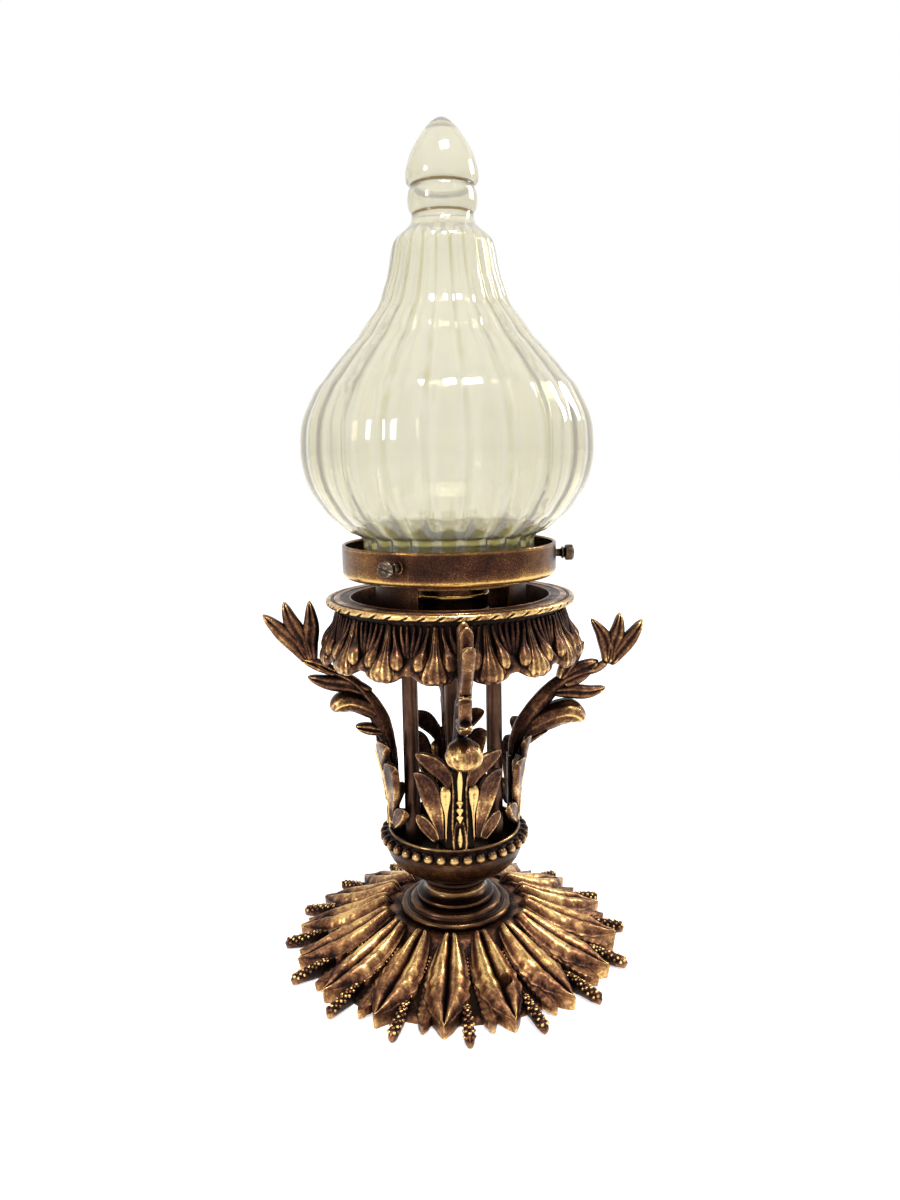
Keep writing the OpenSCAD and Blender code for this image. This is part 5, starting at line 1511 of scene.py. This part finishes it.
@dataclass
class Shade:
    """Ribbed onion of glass with a turned finial."""

    ribs: int = 24
    depth: float = 1.0
    wall: float = 2.2
    neck_rib: float = 1.9
    profile: tuple[Point, ...] = (
        (202.6, 43.9), (204.2, 43.3), (206, 43), (212, 43), (218, 43), (220.6, 44.6), (222.6, 49.4), (224.6, 52.2),
        (227, 55), (232, 60.5), (237, 64), (242, 67.3), (247, 69.5), (252, 70.9), (257, 71.7), (262, 72), (271, 71.5),
        (276, 70.5), (281, 68.7), (286, 66.2), (291, 63.5), (295, 60), (300, 56.1), (305, 51.8), (310, 47.4),
        (314, 43.5), (319, 40.1), (324, 36.4), (328, 33.2), (333, 30.8), (338, 29.3), (342, 27.8), (347, 26.6),
        (351, 25.8), (355, 25.1), (358.5, 24.2), (361, 22.4), (363.4, 19.8), (365.6, 17.2), (367.8, 15.5),
        (370.2, 14.9), (371.4, 14.7), (372.2, 14.8), (373.6, 15.6), (375.4, 16.3), (378, 16.6), (380.8, 16.4),
        (382.8, 15.9), (383.8, 15.3), (384.4, 15.1), (385, 15.3), (385.8, 16.5), (386.8, 17.1), (388.6, 17.3),
        (391.5, 17.1), (395, 16.2), (399, 14.8), (402.5, 13.0), (406, 10.8), (409, 8.6), (411.5, 6.4), (413.6, 4.0),
        (415, 1.6), (415.4, 0))
    grooves: tuple[float, float] = (371.5, 384.4)

    def fade(self, z: float) -> float:
        """How strong the ribs are at a height."""
        return (0.35 + 0.65 * ease((z - 212) / 10)) * ease((z - 204) / 4) * ease((366 - z) / 10)

    def tone(self, z: float, cosine: float) -> float:
        """How green the glass is: along the grooves, in the thick ribs at the neck and in the finial."""
        groove = 0.5 * ease((0.5 - cosine) / 0.3) * self.fade(z)
        rib = 1.1 * ease((cosine - 0.5) / 0.25) * (1 - ease((z - 214 - 12 * cosine) / 4)) * ease((z - 203) / 3)
        return groove + rib + 0.28 * ease((z - 300) / 90) + 0.1

    def wall_at(self, z: float) -> float:
        """Thickness of the glass measured level, at a height."""
        slope = (keyed(self.profile, z + 0.5) - keyed(self.profile, z - 0.5))
        return self.wall * math.sqrt(1 + slope * slope)

    def build(self) -> list[bpy.types.Object]:
        """Blows the glass: a closed double wall with ribs."""
        seat = Seat.of("glass_shade")
        foot, top = seat.low, seat.high
        heights = [h for i in range(len(self.profile) - 1)
                   for h in np.linspace(self.profile[i][0], self.profile[i + 1][0], 3)[:-1]] + [top]
        outer = [(keyed(self.profile, h), h) for h in heights]
        outer[-1] = (0.0, top)
        inner = [(max(0.0, keyed(self.profile, h) - self.wall_at(h)), h) for h in heights if h < top - 5.5]
        bead = [(42.2 + 1.75 * math.cos(a), foot + 1.5 + 1.5 * math.sin(a)) for a in np.radians([200, 230, 260, 290, 320, 350])]
        section = [*bead, *outer, (0.0, top - 4.2), *[p for p in reversed(inner)]]
        bm = turned(section, self.ribs * 12)
        for v in bm.verts:
            r, z = math.hypot(v.co.x, v.co.y) / MM, v.co.z / MM
            if r < 1:
                continue
            cosine = abs(math.cos(self.ribs / 2 * math.radians(azimuth(v.co))))
            valley, share = 1 - cosine ** 1.1, self.fade(z) * min(1.0, r / 40)
            if r < keyed(self.profile, z) - 0.4 * self.wall:
                crest = ease((cosine - 0.35) / 0.4) * (0.25 + 0.75 * (1 - ease((z - 210) / 20))) * self.neck_rib
                side = r - (0.3 * valley + crest) * share
            else:
                side = r - self.depth * valley * share
            v.co.x, v.co.y = v.co.x * side / r, v.co.y * side / r
        casting = Casting().add(bm)
        dirt, tone = (casting.bm.verts.layers.float.new(name) for name in ("dirt", "tone"))
        for v in casting.bm.verts:
            z = v.co.z / MM
            outside = math.hypot(v.co.x, v.co.y) / MM > keyed(self.profile, z) - 0.4 * self.wall
            v[dirt] = max(bump(z, groove, 1.0) for groove in self.grooves) if outside else 0.0
            v[tone] = self.tone(z, abs(math.cos(self.ribs / 2 * math.radians(azimuth(v.co)))))
        return [casting.finish("ribbed_onion_shade", VASELINE, body="shade", stands_for=["glass_shade"], sharp=180)]


@dataclass
class Lampholder:
    """Brass lampholder in the drum, with its porcelain and screw shell."""

    radius: float = 20.0
    sheet: float = 1.1
    pitch: float = 3.62

    def build(self) -> list[bpy.types.Object]:
        """Turns each piece."""
        r = self.radius
        cap, shell = Seat.of("lampholder_cap"), Seat.of("lampholder_shell")
        z, top = cap.low, cap.high
        closed = rounded([(5.1, z), (11.3, z), (12.2, z + 0.8), (12.9, z + 2), (15.6, z + 3.2), (r - 1.3, z + 5),
                          (r - 0.5, z + 6.6), (r - 0.4, top - 2.4), (r, top - 1.9), (r, top), (r - self.sheet, top),
                          (r - self.sheet - 0.4, top - 2.4), (r - 1.8, z + 7), (r - 2.9, z + 6.1), (14, z + 4.6),
                          (11.2, z + 3), (10.8, z + 1.6), (5.1, z + 1.6)], 0.35)
        z, top = shell.low, shell.high
        wall = r - 0.8
        open_shell = rounded([(r - 1.35, z), (r - 0.1, z), (r, z + 0.5), (r, z + 1.6), (wall, z + 2.3), (wall, z + 8),
                              (r - 0.2, z + 8.4), (r, z + 9.2), (r - 0.2, z + 10), (wall, z + 10.4), (wall, top - 5),
                              (r - 0.1, top - 4.3), (r - 0.1, top - 3.5), (wall, top - 2.8), (wall, top - 0.6),
                              (r - 1.1, top), (r - 1.35, top - 0.3)], 0.25)
        # the raised ring of the shell gets a painted highlight band
        bright = Casting().add(turned(open_shell), gilding=lambda at: 0.12 + 0.6 * bump(at.z / MM, z + 9.2, 1.3))
        pieces = [Casting().add(turned(closed)).finish("holder_cap", BRASS, stands_for=["lampholder_cap"]),
                  bright.finish("holder_shell", BRASS, stands_for=["lampholder_shell"])]
        seat = Seat.of("porcelain_insert")
        base = Seat.of("bulb_screw_shell").low
        inner, ring = 14.3, 16.7
        body = rounded([(3, seat.low), (18.5, seat.low), (18.5, base - 1), (17.7, base), (ring, base + 0.6),
                        (ring, seat.high - 1), (ring - 0.8, seat.high), (inner + 0.6, seat.high), (inner, seat.high - 0.6),
                        (inner, base), (3, base)], 0.5)
        pieces.append(Casting().add(turned(body)).finish("holder_porcelain", PORCELAIN, stands_for=["porcelain_insert"]))
        seat = Seat.of("bulb_screw_shell")
        thread = turned([(seat.reach - 0.15, z) for z in np.linspace(seat.low, seat.high, 56)], 72, closed=False)
        for v in thread.verts:
            phase = math.tau * v.co.z / MM / self.pitch - math.radians(azimuth(v.co))
            grow = 1 + 0.022 * math.cos(phase) * ease((seat.high - v.co.z / MM) / 2) - 0.012
            v.co.x, v.co.y = v.co.x * grow, v.co.y * grow
        thicken(thread, 0.35)
        pieces.append(Casting().add(thread).finish("threaded_socket", UNSEEN, stands_for=["bulb_screw_shell"]))
        return pieces


# ---------------------------------------------------------------- room and camera


@dataclass
class Studio:
    """White studio with a pale floor, soft lights and the photograph's camera."""

    distance: float = 0.452
    eye: float = 0.2603
    pitch: float = 9.28
    roll: float = -1.1
    lens: float = 27.03
    world: float = 0.55
    floor_shine: float = 0.62

    def camera(self) -> bpy.types.Object:
        """Puts the camera where the photograph was taken."""
        data = bpy.data.cameras.new("camera")
        data.sensor_fit, data.sensor_height, data.sensor_width = "VERTICAL", 36.0, 27.0
        data.lens, data.clip_start, data.clip_end = self.lens, 0.01, 50.0
        camera = bpy.data.objects.new("camera", data)
        camera.matrix_world = (Matrix.Translation((0, -self.distance, self.eye))
                               @ Matrix.Rotation(math.radians(90 - self.pitch), 4, "X")
                               @ Matrix.Rotation(math.radians(self.roll), 4, "Z"))
        bpy.context.scene.collection.objects.link(camera)
        bpy.context.scene.camera = camera
        return camera

    def sky(self) -> None:
        """White to the camera and in reflections, softer as a light."""
        world = bpy.data.worlds.new("studio")
        bpy.context.scene.world = world
        g = Graph(world)
        path = g.add("LightPath")
        eye = g.add("Math", operation="MAXIMUM")
        g.tree.links.new(path.outputs["Is Camera Ray"], eye.inputs[0])
        g.tree.links.new(path.outputs["Is Transmission Ray"], eye.inputs[1])
        seen = g.add("Math", operation="MAXIMUM")
        g.tree.links.new(eye.outputs[0], seen.inputs[0])
        g.tree.links.new(path.outputs["Is Glossy Ray"], seen.inputs[1])
        strength = g.add("MapRange", Value=seen.outputs[0], To_Min=self.world, To_Max=1.0)
        light = g.add("Background", Color=(1, 1, 1, 1), Strength=strength.outputs[0])
        g.add("OutputWorld", Surface=light.outputs[0])

    def light(self, name: str, place: Colour, size: Point, power: float) -> None:
        """Adds a soft panel that faces the lamp.

        Args:
            name: its name.
            place: where it stands, in metres.
            size: its width and height in metres.
            power: its power in watts.
        """
        data = bpy.data.lights.new(name, "AREA")
        data.shape, data.size, data.size_y, data.energy = "RECTANGLE", size[0], size[1], power
        panel = bpy.data.objects.new(name, data)
        aim = Vector((0, 0, 0.2)) - Vector(place)
        panel.matrix_world = Matrix.Translation(place) @ aim.to_track_quat("-Z", "Y").to_matrix().to_4x4()
        bpy.context.scene.collection.objects.link(panel)

    def floor(self) -> bpy.types.Object:
        """Pale floor that keeps the lamp's soft shadow and melts into the white."""
        bm = bmesh.new()
        bmesh.ops.create_grid(bm, x_segments=8, y_segments=8, size=6.0)
        mesh = bpy.data.meshes.new("floor")
        bm.to_mesh(mesh)
        bm.free()
        made = bpy.data.materials.new("pale floor")
        g = Graph(made)
        matt = g.add("BsdfDiffuse", Color=(0.8, 0.8, 0.8, 1))
        glow = g.add("Emission", Color=(1, 1, 1, 1), Strength=self.floor_shine)
        both = g.add("AddShader")
        g.tree.links.new(matt.outputs[0], both.inputs[0])
        g.tree.links.new(glow.outputs[0], both.inputs[1])
        g.add("OutputMaterial", Surface=both.outputs[0])
        mesh.materials.append(made)
        floor = bpy.data.objects.new("floor", mesh)
        floor.location.z = -0.0002
        bpy.context.scene.collection.objects.link(floor)
        return floor

    def build(self) -> None:
        """Sets the whole studio up."""
        scene = bpy.context.scene
        scene.view_settings.view_transform = "Standard"
        self.camera()
        self.sky()
        self.light("key", (0.12, -0.42, 1.25), (0.4, 0.26), 13.0)
        self.light("fill", (-0.95, -0.75, 0.6), (0.22, 0.42), 5.0)
        self.light("rim", (0.95, 0.45, 0.75), (0.25, 0.5), 6.0)
        self.floor()


def dress_hidden(frame_nodes: dict) -> None:
    """Gives the small pieces that come straight from the construction their metals.

    Args:
        frame_nodes: the frame's objects by node.
    """
    steel = ("leaf_screws", "plate_screws", "rod_nuts", "rose_nut", "bowl_nut", "holder_nut")
    brass = ("holder_tube", "stem_tube", "rose_washer", "bowl_washer", "centre_contact")
    for names, finish in ((steel, STEEL), (brass, UNSEEN), (("top_plate",), ROD)):
        for name in names:
            piece = frame_nodes[name]
            piece.data.materials.clear()
            piece.data.materials.append(finish.material())


def main() -> None:
    """Builds the lamp from its ceiling plate up, then the studio."""
    logging.basicConfig(level=logging.INFO, format="%(name)s %(message)s")
    parts = [
        CeilingRose(), Stem(), Cup(), *(CupLeaf(side) for side in Side),
        Branch(Side.RIGHT, SPREADING), Branch(Side.BACK, UPRIGHT), Branch(Side.LEFT, UPRIGHT),
        Branch(Side.FRONT, FACING),
        Rod("wire_rod_back", 90, wire_holes=(55.0, 148.0)), Rod("support_rod_left", 210), Rod("support_rod_right", 330),
        FrameRing(), Skirt(), Drum(), Gallery(),
        ThumbScrew("thumb_screw_right", 2.5), ThumbScrew("thumb_screw_back", 122.5), ThumbScrew("thumb_screw_left", 242.5),
        Shade(), Lampholder(),
    ]
    made = [piece for part in parts for piece in part.build()]
    metal = [piece for piece in made if piece.name != "ribbed_onion_shade"]
    wear_and_shade_map = WearAndShadeMap()
    wear_and_shade_map.gather(metal)
    wear_and_shade_map.dress()
    dress_hidden(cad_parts)
    Studio().build()
    LOG.info("%d pieces, %d faces", len(made), sum(len(piece.data.polygons) for piece in made))


if __name__ == "__main__":
    main()
